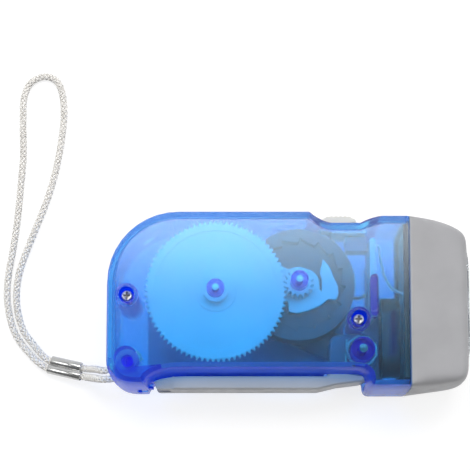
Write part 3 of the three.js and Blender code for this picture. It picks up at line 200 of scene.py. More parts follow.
def moulded(name, dark, light, roughness, grain, grain_height, mottle=14, scuff=0.08, **shader):
    """A moulded, painted or plated surface: slow colour drift, fine grain, and scuffs in the gloss.

    grain, grain_height and mottle, the size of the drift, are in millimetres.
    """
    made, tree = new_material(name)
    place = add_node(tree, "ShaderNodeTexCoord").outputs["Object"]
    drift = add_node(tree, "ShaderNodeTexNoise", {
        "Vector": place, "Scale": per_mm(mottle), "Detail": 3, "Roughness": 0.55,
    }).outputs["Fac"]
    colour = add_node(tree, "ShaderNodeValToRGB", {"Fac": drift}, stops=[
        (0.3, linear(dark)), (0.7, linear(light)),
    ]).outputs["Color"]
    fine = add_node(tree, "ShaderNodeTexNoise", {
        "Vector": place, "Scale": per_mm(grain), "Detail": 4, "Roughness": 0.6,
    }).outputs["Fac"]
    wear = add_node(tree, "ShaderNodeTexNoise", {
        "Vector": place, "Scale": per_mm(mottle / 3), "Detail": 6, "Roughness": 0.7, "Distortion": 1.2,
    }).outputs["Fac"]
    gloss = add_node(tree, "ShaderNodeMapRange", {
        "Value": wear, "From Min": 0.35, "From Max": 0.65,
        "To Min": max(0.02, roughness - scuff), "To Max": min(1, roughness + scuff),
    }).outputs["Result"]
    bump = add_node(tree, "ShaderNodeBump", {
        "Height": fine, "Strength": 0.35, "Distance": grain_height * MM,
    }).outputs["Normal"]
    surface = add_node(tree, "ShaderNodeBsdfPrincipled", {
        "Base Color": colour, "Roughness": gloss, "Normal": bump, **shader,
    })
    add_node(tree, "ShaderNodeOutputMaterial", {"Surface": surface.outputs["BSDF"]})
    return made


# The casing's outline from above, in millimetres: its top edge dips at the switch scoop, and the
# corner of the tail is round. The wall stands under this edge and darkens a strip along it.
tail_edge, top_edge, tail_corner = -52.5, 25.9, 21
dip_places = [(6.5, 0), (8.8, 2.0), (11.9, 3.3), (20.5, 3.3), (25.1, 1.6), (27.7, 1.2)]
strip_width = 3.1
strip_fade = 0.2


def edge_strip(tree, place):
    """1 in the strip along the casing's outline, and 0 inside it."""
    dip_start, dip_end = dip_places[0][0], dip_places[-1][0]
    along = add_node(tree, "ShaderNodeSeparateXYZ", {"Vector": place}).outputs["X"]
    share = add_node(tree, "ShaderNodeMapRange", {
        "Value": along, "From Min": dip_start * MM, "From Max": dip_end * MM,
    }).outputs["Result"]
    dip = add_node(tree, "ShaderNodeValToRGB", {"Fac": share}, stops=[
        ((x - dip_start) / (dip_end - dip_start), grey(depth / tail_corner)) for x, depth in dip_places
    ]).outputs["Color"]
    # The places are lifted by the dip, which makes the top edge straight
    lift = add_node(tree, "ShaderNodeVectorMath", {
        0: dip, 1: (0, tail_corner * MM, 0),
    }, operation="MULTIPLY").outputs["Vector"]
    level = add_node(tree, "ShaderNodeVectorMath", {0: place, 1: lift}, operation="ADD").outputs["Vector"]
    # The distance from the middle of the round corner counts only towards the tail and the top
    out = add_node(tree, "ShaderNodeVectorMath", {
        0: level, 1: (-1, 1, 0), 2: ((tail_edge + tail_corner) * MM, (tail_corner - top_edge) * MM, 0),
    }, operation="MULTIPLY_ADD").outputs["Vector"]
    beyond = add_node(tree, "ShaderNodeVectorMath", {
        0: out, 1: (0, 0, 0),
    }, operation="MAXIMUM").outputs["Vector"]
    far = add_node(tree, "ShaderNodeVectorMath", {0: beyond}, operation="LENGTH").outputs["Value"]
    strip_start = tail_corner - strip_width
    return add_node(tree, "ShaderNodeMapRange", {
        "Value": far, "From Min": (strip_start - strip_fade) * MM, "From Max": strip_start * MM,
    }).outputs["Result"]


# Moulded polycarbonate, tinted blue: clear enough to show the gears, with a satin skin that softens
# what lies deeper and takes a broad soft gleam. Lamps reach the inside through it, tinted as they
# pass. Walls and posts are seen along their depth, so they hold more cloudy, coloured light.
def tinted_polycarbonate(name, pane, cloud, cloud_share, roughness, gleam=1.0, passing=None, strip=None):
    """pane is the clear plastic's colour, cloud that of the light it holds, and passing the lamps' tint.

    strip gives the gleam and the cloud's share in the strip along the casing's outline.
    """
    made, tree = new_material(name)
    place = add_node(tree, "ShaderNodeTexCoord").outputs["Object"]
    drift = add_node(tree, "ShaderNodeTexNoise", {
        "Vector": place, "Scale": per_mm(22), "Detail": 2, "Roughness": 0.5,
    }).outputs["Fac"]
    full = linear(pane)
    deep = tuple(part * 0.94 for part in full)
    lamp_tint = linear(passing) if passing else tuple(math.sqrt(part) for part in full)
    tint = add_node(tree, "ShaderNodeValToRGB", {"Fac": drift}, stops=[
        (0.3, deep), (0.7, full),
    ]).outputs["Color"]
    # The satin grain of the mould, drawn about twice as coarse as it is so that it shows
    fine = add_node(tree, "ShaderNodeTexNoise", {
        "Vector": place, "Scale": per_mm(0.6), "Detail": 2, "Roughness": 0.6,
    }).outputs["Fac"]
    haze = add_node(tree, "ShaderNodeMapRange", {
        "Value": drift, "From Min": 0.3, "From Max": 0.7,
        "To Min": roughness * 0.85, "To Max": roughness * 1.15,
    }).outputs["Result"]
    grain = add_node(tree, "ShaderNodeBump", {
        "Height": fine, "Strength": 0.5, "Distance": 0.012 * MM,
    }).outputs["Normal"]
    if strip:
        by_edge = edge_strip(tree, place)
        gleam, cloud_share = (
            add_node(tree, "ShaderNodeMapRange", {
                "Value": by_edge, "To Min": inside, "To Max": in_strip,
            }).outputs["Result"]
            for inside, in_strip in zip((gleam, cloud_share), strip)
        )
    # Both faces of a thin wall bend the view back, so the index within it is low, and the coat
    # gives the gloss of the plastic's own index
    pane_shader = add_node(tree, "ShaderNodeBsdfPrincipled", {
        "Base Color": tint, "Roughness": haze, "IOR": 1.2, "Transmission Weight": 1.0, "Coat Normal": grain,
        "Coat Weight": gleam, "Coat Roughness": 0.14, "Coat IOR": 1.5,
    }).outputs["BSDF"]
    held = add_node(tree, "ShaderNodeBsdfTranslucent", {"Color": linear(cloud)}).outputs["BSDF"]
    thrown = add_node(tree, "ShaderNodeBsdfDiffuse", {"Color": linear(cloud)}).outputs["BSDF"]
    cloudy = add_node(tree, "ShaderNodeMixShader", {0: 0.5, 1: held, 2: thrown}).outputs["Shader"]
    wall = add_node(tree, "ShaderNodeMixShader", {
        0: cloud_share, 1: pane_shader, 2: cloudy,
    }).outputs["Shader"]
    path = add_node(tree, "ShaderNodeLightPath").outputs
    by_lamp = add_node(tree, "ShaderNodeMath", {
        0: path["Is Shadow Ray"], 1: path["Is Diffuse Ray"],
    }, operation="MAXIMUM").outputs["Value"]
    clear = add_node(tree, "ShaderNodeBsdfTransparent", {"Color": lamp_tint}).outputs["BSDF"]
    both = add_node(tree, "ShaderNodeMixShader", {0: by_lamp, 1: wall, 2: clear}).outputs["Shader"]
    add_node(tree, "ShaderNodeOutputMaterial", {"Surface": both})
    return made


# The near and far faces are clear, with the broad gleam
face_blue = tinted_polycarbonate(
    "tinted polycarbonate", "#56c6fb", "#74c4ff", cloud_share=0.01, roughness=0.17,
    passing="#c0e8ff", strip=(0.3, 0.22),
)
# The eased edges round the faces are a little cloudier
rim_blue = tinted_polycarbonate(
    "tinted polycarbonate rim", "#56c6fb", "#5ab0ff", cloud_share=0.25, roughness=0.17, gleam=0.2,
)
# The far half's floor, seen through the works, is a deeper blue: painted shade, for the shaded table below
# it
floor_shade_blue = tinted_polycarbonate(
    "tinted polycarbonate floor, painted shade", "#4698fb", "#2f7dff", cloud_share=0.04, roughness=0.2, gleam=0.2,
)
# Walls, seen along their depth, are a full blue; their inner sides are painted paler, as painted light
# where they catch it
wall_blue = tinted_polycarbonate(
    "tinted polycarbonate wall", "#6ec4ff", "#2c8cff", cloud_share=0.6, roughness=0.2, gleam=0.2,
)
lit_lining_blue = tinted_polycarbonate(
    "tinted polycarbonate wall inside, painted light", "#98d4ff", "#70bcff", cloud_share=0.45, roughness=0.25, gleam=0.1,
)
# Where the halves meet, the cut plastic is matt and nearly white: painted light, which brightens the band
# that the walls show round the faces
lit_band_blue = tinted_polycarbonate(
    "tinted polycarbonate parting face, painted light", "#bfe8ff", "#9cdcff", cloud_share=0.85, roughness=0.25, gleam=0.0,
)
# The recess and the underside stand in the lever's shade, and their deeper blue is painted shade; the
# recess is a thick wall as well. The scoop's end walls are a deep violet, painted shade for its pocket,
# and the rib behind the board takes the same violet as thick plastic; the posts are thick plastic, and
# the deepest in colour
recess_shade_blue = tinted_polycarbonate(
    "tinted polycarbonate recess, painted shade", "#5a92ff", "#1f50f0", cloud_share=0.5, roughness=0.2, gleam=0.1,
    passing="#dfe8ff",
)
belly_shade_blue = tinted_polycarbonate(
    "tinted polycarbonate underside, painted shade", "#6aa8ff", "#3068f0", cloud_share=0.5, roughness=0.15, gleam=0.4,
)
scoop_shade_and_rib_blue = tinted_polycarbonate(
    "tinted polycarbonate scoop", "#5c74e8", "#3c48c0", cloud_share=0.6, roughness=0.2, gleam=0.1,
)
boss_blue = tinted_polycarbonate(
    "tinted polycarbonate boss", "#88b0ff", "#4a70ff", cloud_share=0.4, roughness=0.2, gleam=0.1,
)
post_blue = tinted_polycarbonate(
    "tinted polycarbonate post", "#3a68ff", "#1f50ff", cloud_share=0.8, roughness=0.2, gleam=0.1,
)

# ABS under a satin silver paint, even and with a soft broad highlight; the skirt inside the casing is
# painted nearly black, as painted shade
satin_grey = moulded(
    "satin silver-grey ABS", "#a0a0a3", "#a9a9ac", roughness=0.42, grain=0.5, grain_height=0.012,
    **{"Specular IOR Level": 0.25},
)
shaded_skirt_grey = moulded(
    "silver-grey ABS skirt, painted shade", "#22242b", "#2c2e36", roughness=0.5, grain=0.5, grain_height=0.012,
)
lever_grey = moulded(
    "satin grey ABS lever", "#a6a7aa", "#afb0b3", roughness=0.4, grain=0.5, grain_height=0.012,
    **{"Specular IOR Level": 0.2},
)
# The hub inside the casing is painted a matt, darker bluish grey, as painted shade
shaded_hub_grey = moulded(
    "lever hub ABS, painted shade", "#54657e", "#5f718a", roughness=0.5, grain=0.5, grain_height=0.012,
)
# Acetal is waxy: light goes a little way in and comes out soft
white_plastic = moulded(
    "natural acetal", "#e4eef0", "#f2f8f8", roughness=0.42, grain=0.4, grain_height=0.01, mottle=9,
    **{"Subsurface Weight": 0.35, "Subsurface Radius": (1, 1, 1), "Subsurface Scale": 1.2 * MM},
)
# Moulded ABS and other plain plastics: satin, with a fine mould grain
switch_body = moulded(
    "slide switch body", "#56718f", "#64809c", roughness=0.5, grain=0.4, grain_height=0.01, mottle=5,
)
knob_white = moulded(
    "ivory ABS knob", "#d2d1c6", "#dedcd1", roughness=0.45, grain=0.35, grain_height=0.012, mottle=5,
)
# The tray under the gears is painted blue-grey, as painted shade standing for the far wall behind them
tray_shade_grey = moulded(
    "blue-grey ABS tray, painted shade", "#7499c8", "#82a8d6", roughness=0.5, grain=0.35, grain_height=0.012, mottle=6,
)
lead_white = moulded(
    "white lead insulation", "#e6e9e8", "#f4f5f3", roughness=0.45, grain=0.3, grain_height=0.01, mottle=4,
)
# Black shrink film, drawn tight, with a slight ripple in its shine
battery_wrap = moulded(
    "shrink-wrapped cell", "#08090c", "#0e0f14", roughness=0.4, grain=0.7, grain_height=0.02, mottle=8,
)
# Zinc plate is bright but spotted; the cut of a screw's cross is painted dark, as painted shade
steel = moulded(
    "zinc-plated steel", "#97958a", "#e2e0d6", roughness=0.38, grain=0.25, grain_height=0.03, mottle=0.6,
    Metallic=0.7,
)
cross_recess_shade = moulded(
    "zinc-plated steel cross recess, painted shade", "#5a564c", "#8a867a", roughness=0.5, grain=0.2, grain_height=0.02,
    mottle=0.5, Metallic=0.7,
)
# Oil darkens the pin, and it is worn smooth
pin_steel = moulded(
    "oiled steel pin", "#4e5a58", "#65706c", roughness=0.45, grain=0.25, grain_height=0.01, mottle=1.5,
    Metallic=1.0,
)
# Cast zinc under its oxide is matt and has no metal's mirror; its rim is painted darker, as painted shade
flywheel_metal = moulded(
    "cast zinc flywheel", "#50565f", "#585f69", roughness=0.6, grain=0.4, grain_height=0.012, mottle=7,
)
flywheel_rim_shade = moulded(
    "cast zinc flywheel rim, painted shade", "#2c3038", "#363b44", roughness=0.6, grain=0.4, grain_height=0.012, mottle=7,
)
# Ferrite is a dark grey ceramic, matt from the sintering
magnet_ferrite = moulded(
    "sintered ferrite", "#2b2d31", "#383b40", roughness=0.55, grain=0.2, grain_height=0.015, mottle=5,
)
# Chrome and the reflector's vapour coating are the smoothest surfaces, and mirror the room
ferrule_chrome = moulded(
    "bright chromed brass", "#b4b4b2", "#c8c8c6", roughness=0.2, grain=0.5, grain_height=0.004, mottle=4,
    scuff=0.05, Metallic=0.75,
)
mirror_coating = moulded(
    "vacuum metallised reflector", "#d4d7da", "#e8eaec", roughness=0.1, grain=0.8, grain_height=0.003,
    mottle=6, scuff=0.04, Metallic=1.0,
)
# Laminated boards under lacquer: smooth, with a low shine
board_white = moulded(
    "printed circuit board", "#c0d0d4", "#ccd9da", roughness=0.4, grain=0.4, grain_height=0.01, mottle=5,
)
board_green = moulded(
    "lamp board, green solder mask", "#1d3f36", "#285046", roughness=0.35, grain=0.4, grain_height=0.01,
    mottle=5,
)
# Enamel gives the copper a reddish, glossy skin
copper = moulded(
    "enamelled copper wire", "#9a4f22", "#c2733a", roughness=0.3, grain=0.3, grain_height=0.01, mottle=3,
    Metallic=1.0,
)


def clear_plastic(name, code, roughness):
    """A clear moulded part, which lets the lamps through."""
    made, tree = new_material(name)
    place = add_node(tree, "ShaderNodeTexCoord").outputs["Object"]
    ripple = add_node(tree, "ShaderNodeTexNoise", {
        "Vector": place, "Scale": per_mm(6), "Detail": 2,
    }).outputs["Fac"]
    gloss = add_node(tree, "ShaderNodeMapRange", {
        "Value": ripple, "To Min": roughness * 0.6, "To Max": roughness * 1.4,
    }).outputs["Result"]
    bump = add_node(tree, "ShaderNodeBump", {
        "Height": ripple, "Strength": 0.1, "Distance": 0.05 * MM,
    }).outputs["Normal"]
    surface = add_node(tree, "ShaderNodeBsdfPrincipled", {
        "Base Color": linear(code), "Roughness": gloss, "Normal": bump, "IOR": 1.5,
        "Transmission Weight": 1.0,
    })
    path = add_node(tree, "ShaderNodeLightPath")
    clear = add_node(tree, "ShaderNodeBsdfTransparent", {"Color": linear(code)})
    both = add_node(tree, "ShaderNodeMixShader", {
        0: path.outputs["Is Shadow Ray"], 1: surface.outputs["BSDF"], 2: clear.outputs["BSDF"],
    })
    add_node(tree, "ShaderNodeOutputMaterial", {"Surface": both.outputs["Shader"]})
    return made


# Moulded acrylic and cast epoxy: clear and glossy, with the slight ripple of the mould
lens_clear = clear_plastic("clear acrylic lens", "#f4fafc", roughness=0.03)
lamp_clear = clear_plastic("clear epoxy lamp", "#f2f5ee", roughness=0.05)


# Braided polyester cord: pale silver threads, each strand with a fine lengthwise grain
def braided_polyester():
    made, tree = new_material("braided polyester")
    place = add_node(tree, "ShaderNodeTexCoord").outputs["Object"]
    thread = add_node(tree, "ShaderNodeTexNoise", {
        "Vector": place, "Scale": per_mm(0.35), "Detail": 3, "Roughness": 0.7,
    }).outputs["Fac"]
    colour = add_node(tree, "ShaderNodeValToRGB", {"Fac": thread}, stops=[
        (0.38, linear("#b3ada5")), (0.5, linear("#f6f4f0")),
    ]).outputs["Color"]
    bump = add_node(tree, "ShaderNodeBump", {
        "Height": thread, "Strength": 0.6, "Distance": 0.06 * MM,
    }).outputs["Normal"]
    surface = add_node(tree, "ShaderNodeBsdfPrincipled", {
        "Base Color": colour, "Roughness": 0.55, "Normal": bump,
        "Sheen Weight": 0.25, "Sheen Roughness": 0.4,
    })
    add_node(tree, "ShaderNodeOutputMaterial", {"Surface": surface.outputs["BSDF"]})
    return made


strap_cord = braided_polyester()
# The core is painted near black, as painted shade for the dark gaps of the braid between its strands
strap_core_shade = moulded(
    "polyester core, painted shade", "#1c1917", "#2e2a28", roughness=0.9, grain=0.3, grain_height=0.03, mottle=3,
)

# Eight flat strands, four each way, pass over and under one another round a darker core. A strand
# goes once round the cord in one pitch, and rides out and in as it crosses the others.
braid_pairs = 4
braid_pitch = 6.4
strand_width = 0.8
strand_thickness = 0.46
strand_ride = 0.24
strand_sides = 6
core_width = 1.2
core_sides = 8


def side_directions(route):
    """Two directions across a route at each of its points, which don't turn about it."""
    last = len(route) - 1
    tangents = [(route[min(i + 1, last)] - route[max(i - 1, 0)]).normalized() for i in range(last + 1)]
    side = tangents[0].cross(Vector((0, 0, 1))).normalized()
    directions = []
    for tangent in tangents:
        side = (side - tangent * side.dot(tangent)).normalized()
        directions.append((side, tangent.cross(side)))
    return directions


def strand_line(way, start, directions):
    """One strand's places and outward directions; way is 1 or -1, and start its first turn."""
    radius = strap_diameter / 2 - strand_thickness / 2 - strand_ride
    step = strap_length / (len(strap_route) - 1)
    line = []
    for i, (point, (side, up)) in enumerate(zip(strap_route, directions)):
        turn = way * math.tau * i * step / braid_pitch + start
        wave = math.cos(braid_pairs * math.tau * i * step / braid_pitch)
        out = side * math.cos(turn) + up * math.sin(turn)
        line.append((point + out * (radius + way * strand_ride * wave), out))
    return line


def add_ring(shape, centre, across, up, width, height, sides):
    """The points of one flat ring of a tube, in metres from millimetres."""
    turns = [math.tau * s / sides for s in range(sides)]
    return [
        shape.verts.new((
            centre + across * math.cos(turn) * width / 2 + up * math.sin(turn) * height / 2
        ) * MM)
        for turn in turns
    ]


def close_tube(shape, rings):
    """Faces from ring to ring, and one over each end."""
    sides = len(rings[0])
    for low, high in zip(rings, rings[1:]):
        for s in range(sides):
            t = (s + 1) % sides
            shape.faces.new((low[s], low[t], high[t], high[s]))
    shape.faces.new(rings[0])
    shape.faces.new(rings[-1])


def braided_cord(name):
    """The cord: its strands as flat closed tubes, round its core."""
    shape = bmesh.new()
    directions = side_directions(strap_route)
    last = len(strap_route) - 1
    for way in (1, -1):
        for k in range(braid_pairs):
            line = strand_line(way, math.tau * k / braid_pairs, directions)
            rings = []
            for i, (point, out) in enumerate(line):
                run = (line[min(i + 1, last)][0] - line[max(i - 1, 0)][0]).normalized()
                flat = run.cross(out).normalized()
                lift = flat.cross(run).normalized()
                rings.append(add_ring(
                    shape, point, flat, lift, strand_width, strand_thickness, strand_sides,
                ))
            close_tube(shape, rings)
    in_strands = len(shape.faces)
    close_tube(shape, [
        add_ring(shape, point, side, up, core_width, core_width, core_sides)
        for point, (side, up) in zip(strap_route, directions)
    ])
    for number, face in enumerate(shape.faces):
        face.material_index = int(number >= in_strands)
    bmesh.ops.recalc_face_normals(shape, faces=shape.faces)
    mesh = bpy.data.meshes.new(name)
    shape.to_mesh(mesh)
    shape.free()
    mesh.polygons.foreach_set("use_smooth", [True] * len(mesh.polygons))
    made = bpy.data.objects.new(name, mesh)
    bpy.context.scene.collection.objects.link(made)
    mesh.materials.append(strap_cord)
    mesh.materials.append(strap_core_shade)
    return made


cord = braided_cord("braided_strap")
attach(cord, "casing")
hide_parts("wrist_strap")


def only(made):
    """Selects this object alone."""
    bpy.ops.object.select_all(action="DESELECT")
    made.select_set(True)
    bpy.context.view_layer.objects.active = made


def shape_with(made, kind, **settings):
    """Adds a modifier with these settings to the active object, and applies it."""
    added = made.modifiers.new(kind.lower(), kind)
    for name, value in settings.items():
        setattr(added, name, value)
    bpy.ops.object.modifier_apply(modifier=added.name)


# Where two faces turn by less than this, in degrees, they stay smooth and their edge isn't eased
plain_corner = 32
wide_corner = 40
ease_steps = 2


def finished(node, body, material, bevel=0.0, corner=plain_corner):
    """A CAD node's shape as a merged copy, smooth, with its edges eased by bevel, in millimetres."""
    made = nodes[node].copy()
    made.data = nodes[node].data.copy()
    made.parent = None
    # The copy drops the marks that say which node it is
    for key in list(made.keys()):
        del made[key]
    made.name = node + "_finished"
    bpy.context.scene.collection.objects.link(made)
    made.hide_render = made.hide_viewport = False
    only(made)
    bpy.ops.object.mode_set(mode="EDIT")
    bpy.ops.mesh.select_all(action="SELECT")
    bpy.ops.mesh.remove_doubles(threshold=0.002 * MM)
    bpy.ops.mesh.tris_convert_to_quads(face_threshold=math.radians(2), shape_threshold=math.radians(60))
    bpy.ops.object.mode_set(mode="OBJECT")
    if bevel:
        shape_with(
            made, "BEVEL", width=bevel * MM, segments=ease_steps, limit_method="ANGLE",
            angle_limit=math.radians(corner),
        )
    bpy.ops.object.shade_smooth_by_angle(angle=math.radians(corner))
    shape_with(made, "WEIGHTED_NORMAL", keep_sharp=True)
    made.data.materials.clear()
    made.data.materials.append(material)
    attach(made, body)
    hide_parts(node)
    return made


def finish_faces(made, finishes, choose):
    """Gives a piece its finishes, and each face the one that choose names."""
    made.data.materials.clear()
    for finish in finishes:
        made.data.materials.append(finish)
    for face in made.data.polygons:
        face.material_index = finishes.index(choose(face))


def dressed(node, material):
    """A CAD node that stays as it is, with a finish of its own."""
    mesh = nodes[node].data
    mesh.materials.clear()
    mesh.materials.append(material)


def middle(node):
    """The middle of a node's box, as seen from above."""
    low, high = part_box(node)
    return Vector(((low[0] + high[0]) / 2, (low[1] + high[1]) / 2))


def from_above(face):
    """A face's middle, as seen from above."""
    return Vector(face.center[:2])


def eased_share(value, low, high):
    """0 below low, 1 above high, and even between."""
    return min(1, max(0, (value - low) / (high - low)))


# The posts moulded inside the halves: each one's axis, how far its plastic reaches, and its finish
strap_post = Vector((-46.4, -17.0)) * MM
posts = [
    (middle("drive_shaft"), 2.8 * MM, boss_blue), (middle("rotor_shaft"), 2.8 * MM, boss_blue),
    (middle("lever_pin"), 3.7 * MM, post_blue), (middle("screw_rear"), 2.4 * MM, post_blue),
    (middle("screw_front"), 2.4 * MM, post_blue), (middle("screw_rear"), 3.6 * MM, boss_blue),
    (middle("screw_front"), 3.6 * MM, boss_blue), (strap_post, 2 * MM, post_blue),
    (strap_post, 3.6 * MM, boss_blue),
]
# Ribs behind the board and beside the cells, as boxes in millimetres from above, and their finishes
# The rib beside the cells takes the floor's painted shade
ribs = [((23.4, -7), (27.4, 10), scoop_shade_and_rib_blue), ((27.5, -19), (32, -2), floor_shade_blue)]
shell_finishes = [
    face_blue, rim_blue, floor_shade_blue, wall_blue, lit_lining_blue, lit_band_blue, recess_shade_blue, belly_shade_blue, scoop_shade_and_rib_blue,
    boss_blue, post_blue,
]
casing_front, casing_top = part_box("near_shell")[1][:2]
casing_middle = middle("near_shell")
casing_thickness = cad_box[1][2]
knob_low, knob_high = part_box("switch_knob")
# Where the casing's zones lie: the skin of its faces, the posts' depth, the band where the halves
# meet, the recess of the lever up to its end short of the front, the underside, and the scoop
skin_depth = 2.5 * MM
edge_depth = 1 * MM
post_reach = 12.6 * MM
parting_half = 1.5 * MM
recess_level = -20.9 * MM
recess_rise = 1.7 * MM
recess_end = casing_front - 9 * MM
belly_drop = 2.4 * MM
scoop_margin = 6 * MM
scoop_drop = 4.8 * MM
# How far a face's normal leans before the face counts as lying, as level, as one that looks
# towards the lever, and as an end of the scoop
lying_face = 0.6
level_face = 0.97
lever_side_face = -0.3
scoop_end_face = 0.15


def shell_finish(face):
    """Which finish a face of the casing takes."""
    place = from_above(face)
    depth = min(face.center.z, casing_thickness - face.center.z)
    for axis, reach, finish in posts:
        deepest = casing_thickness if axis is strap_post else post_reach
        if skin_depth < depth < deepest and (place - axis).length < reach:
            return finish
    looks_to_lever = face.normal.y < lever_side_face
    below_recess = place.y < recess_level - belly_drop and depth > edge_depth
    # The underside below the recess is painted a deeper blue, as painted shade
    if below_recess and (looks_to_lever or place.x < casing_middle.x):
        return belly_shade_blue
    for (x_low, y_low), (x_high, y_high), finish in ribs:
        in_rib = x_low * MM < place.x < x_high * MM and y_low * MM < place.y < y_high * MM
        if in_rib and skin_depth < depth:
            return finish
    # The recess is painted a deeper blue, as painted shade
    if place.y < recess_level + recess_rise and depth > edge_depth and place.x < recess_end:
        return recess_shade_blue
    in_scoop = knob_low[0] - scoop_margin < place.x < knob_high[0] + scoop_margin
    by_scoop = in_scoop and place.y > casing_top - scoop_drop
    if abs(face.normal.z) > lying_face:
        if abs(depth - casing_thickness / 2) < parting_half:
            # Parting faces are painted nearly white, as painted light; by the scoop they take its painted
            # shade
            return scoop_shade_and_rib_blue if by_scoop else lit_band_blue
        if face.normal.z > 0 and face.center.z < 2 * skin_depth:
            # The far half's floor takes its painted shade
            return floor_shade_blue
        return face_blue if abs(face.normal.z) > level_face else rim_blue
    outward = Vector(face.normal[:2]).dot(place - casing_middle) > 0
    if outward and looks_to_lever:
        # Outer walls that look towards the lever take the recess's painted shade
        return recess_shade_blue
    if by_scoop and abs(face.normal.x) > scoop_end_face:
        # The scoop's end walls take its painted shade
        return scoop_shade_and_rib_blue
    # Inner walls are painted paler, as painted light
    return wall_blue if outward else lit_lining_blue


for half in ("near_shell", "far_shell"):
    finish_faces(
        finished(half, "casing", face_blue, bevel=0.25), shell_finishes, shell_finish,
    )

# The bezel's shoulder grows from the seam towards the front, and from its axis out to its edges
shoulder_grain = 0.5 * MM
shoulder_from_seam = (0.5 * MM, 4 * MM)
shoulder_from_axis = (6 * MM, 12 * MM)
shoulder_rounds = 120


def soften_shoulder(made):
    """Rounds the bezel's long outer edges, more the nearer they lie to its two faces."""
    only(made)
    shape_with(made, "REMESH", mode="VOXEL", voxel_size=shoulder_grain)
    low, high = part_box("head_bezel")
    axis = Vector((0, (low[1] + high[1]) / 2, (low[2] + high[2]) / 2))
    group = made.vertex_groups.new(name="shoulder")
    for vertex in made.data.vertices:
        out = vertex.co - axis
        out.x = 0
        outer = vertex.normal.y * out.y + vertex.normal.z * out.z > 0
        share = (
            eased_share(vertex.co.x - casing_front, *shoulder_from_seam)
            * eased_share(abs(out.z), *shoulder_from_axis)
        )
        group.add([vertex.index], share if outer else 0, "REPLACE")
    shape_with(made, "SMOOTH", factor=0.5, iterations=shoulder_rounds, vertex_group=group.name)
    made.vertex_groups.clear()
    bpy.ops.object.shade_smooth_by_angle(angle=math.radians(wide_corner))


bezel = finished("head_bezel", "casing", satin_grey)
soften_shoulder(bezel)
# The bezel's skirt inside the casing takes the painted shade
finish_faces(
    bezel, [satin_grey, shaded_skirt_grey],
    lambda face: shaded_skirt_grey if face.center.x < casing_front else satin_grey,
)

# The lever's hub inside the casing takes the painted shade
hub_level = recess_level + 1 * MM
finish_faces(
    finished("lever", "lever", lever_grey, bevel=0.2), [lever_grey, shaded_hub_grey],
    lambda face: shaded_hub_grey if face.center.y > hub_level else lever_grey,
)

# The lever's tip, from side to side, and the cheeks that fill it on both sides of the latch notch
tip_low, tip_high = 11.5 * MM, 24.5 * MM
notch_half = 2.6 * MM
cheek_setback = 0.45 * MM
cheek_length = 5.4 * MM
cheek_height = 1.9 * MM
cheek_round = 1.1 * MM
cheek_round_steps = 6
cheek_ease = 0.2 * MM
cheek_corner = 35


def lever_cheek(name, z_low, z_high):
    """A rounded block beside the latch notch, which fills the lever's tip down to its underside."""
    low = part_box("lever")[0]
    middle_x = low[0] + cheek_setback + cheek_length / 2
    middle_y = low[1] + cheek_height / 2
    bpy.ops.object.select_all(action="DESELECT")
    bpy.ops.mesh.primitive_cube_add(size=1)
    made = bpy.context.object
    made.name = name
    only(made)
    bpy.ops.object.mode_set(mode="EDIT")
    bpy.ops.mesh.select_all(action="SELECT")
    bpy.ops.transform.resize(value=(cheek_length, cheek_height, z_high - z_low))
    bpy.ops.transform.translate(value=(middle_x, middle_y, (z_low + z_high) / 2))
    bpy.ops.object.mode_set(mode="OBJECT")
    # The inner end is raised into the lever, and the lower edge of the tip is rounded
    for vertex in made.data.vertices:
        if vertex.co.x > middle_x and vertex.co.y > middle_y:
            vertex.co.y += cheek_height
    bpy.ops.object.mode_set(mode="EDIT")
    bpy.ops.mesh.select_mode(type="EDGE")
    bpy.ops.mesh.select_all(action="DESELECT")
    bpy.ops.object.mode_set(mode="OBJECT")
    for edge in made.data.edges:
        ends = [made.data.vertices[v].co for v in edge.vertices]
        edge.select = all(p.x < middle_x and p.y < middle_y for p in ends)
    bpy.ops.object.mode_set(mode="EDIT")
    bpy.ops.mesh.bevel(offset=cheek_round, segments=cheek_round_steps, affect="EDGES")
    bpy.ops.object.mode_set(mode="OBJECT")
    shape_with(made, "BEVEL", width=cheek_ease, segments=ease_steps)
    bpy.ops.object.shade_smooth_by_angle(angle=math.radians(cheek_corner))
    made.data.materials.append(lever_grey)
    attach(made, "lever")


lever_cheek("lever_cheek_far", tip_low, casing_thickness / 2 - notch_half)
lever_cheek("lever_cheek_near", casing_thickness / 2 + notch_half, tip_high)

finished("drive_gear", "drive_gear", white_plastic, bevel=0.1, corner=wide_corner)
finished("rotor_pinion", "rotor_pinion", white_plastic, bevel=0.1, corner=wide_corner)

wheel_middle = middle("flywheel")
rim_start = 15 * MM


def wheel_finish(face):
    """The flywheel's outer wall is its rim, painted darker as painted shade."""
    beyond = (from_above(face) - wheel_middle).length > rim_start
    return flywheel_rim_shade if beyond and abs(face.normal.z) < lying_face else flywheel_metal


finish_faces(
    finished("flywheel", "flywheel", flywheel_metal, bevel=0.15),
    [flywheel_metal, flywheel_rim_shade], wheel_finish,
)

# The knob's ribs are worn round, and its cap falls away towards both ends
knob_grain = 0.16 * MM
knob_rounds = 30
knob_crown = 1.8 * MM
crown_fall = 0.8
crown_flat_share = 0.5


def wear_knob(made):
    """Wears the switch knob's ribs round and crowns its cap."""
    only(made)
    shape_with(made, "REMESH", mode="VOXEL", voxel_size=knob_grain)
    shape_with(made, "SMOOTH", factor=0.5, iterations=knob_rounds)
    cap = [vertex for vertex in made.data.vertices if vertex.co.y > knob_high[1] - knob_crown]
    cap_low, cap_high = min(vertex.co.x for vertex in cap), max(vertex.co.x for vertex in cap)
    for vertex in cap:
        off_middle = abs(2 * vertex.co.x - cap_low - cap_high) / (cap_high - cap_low)
        vertex.co.y -= crown_fall * knob_crown * eased_share(off_middle, crown_flat_share, 1.0) ** 2
    bpy.ops.object.shade_smooth()


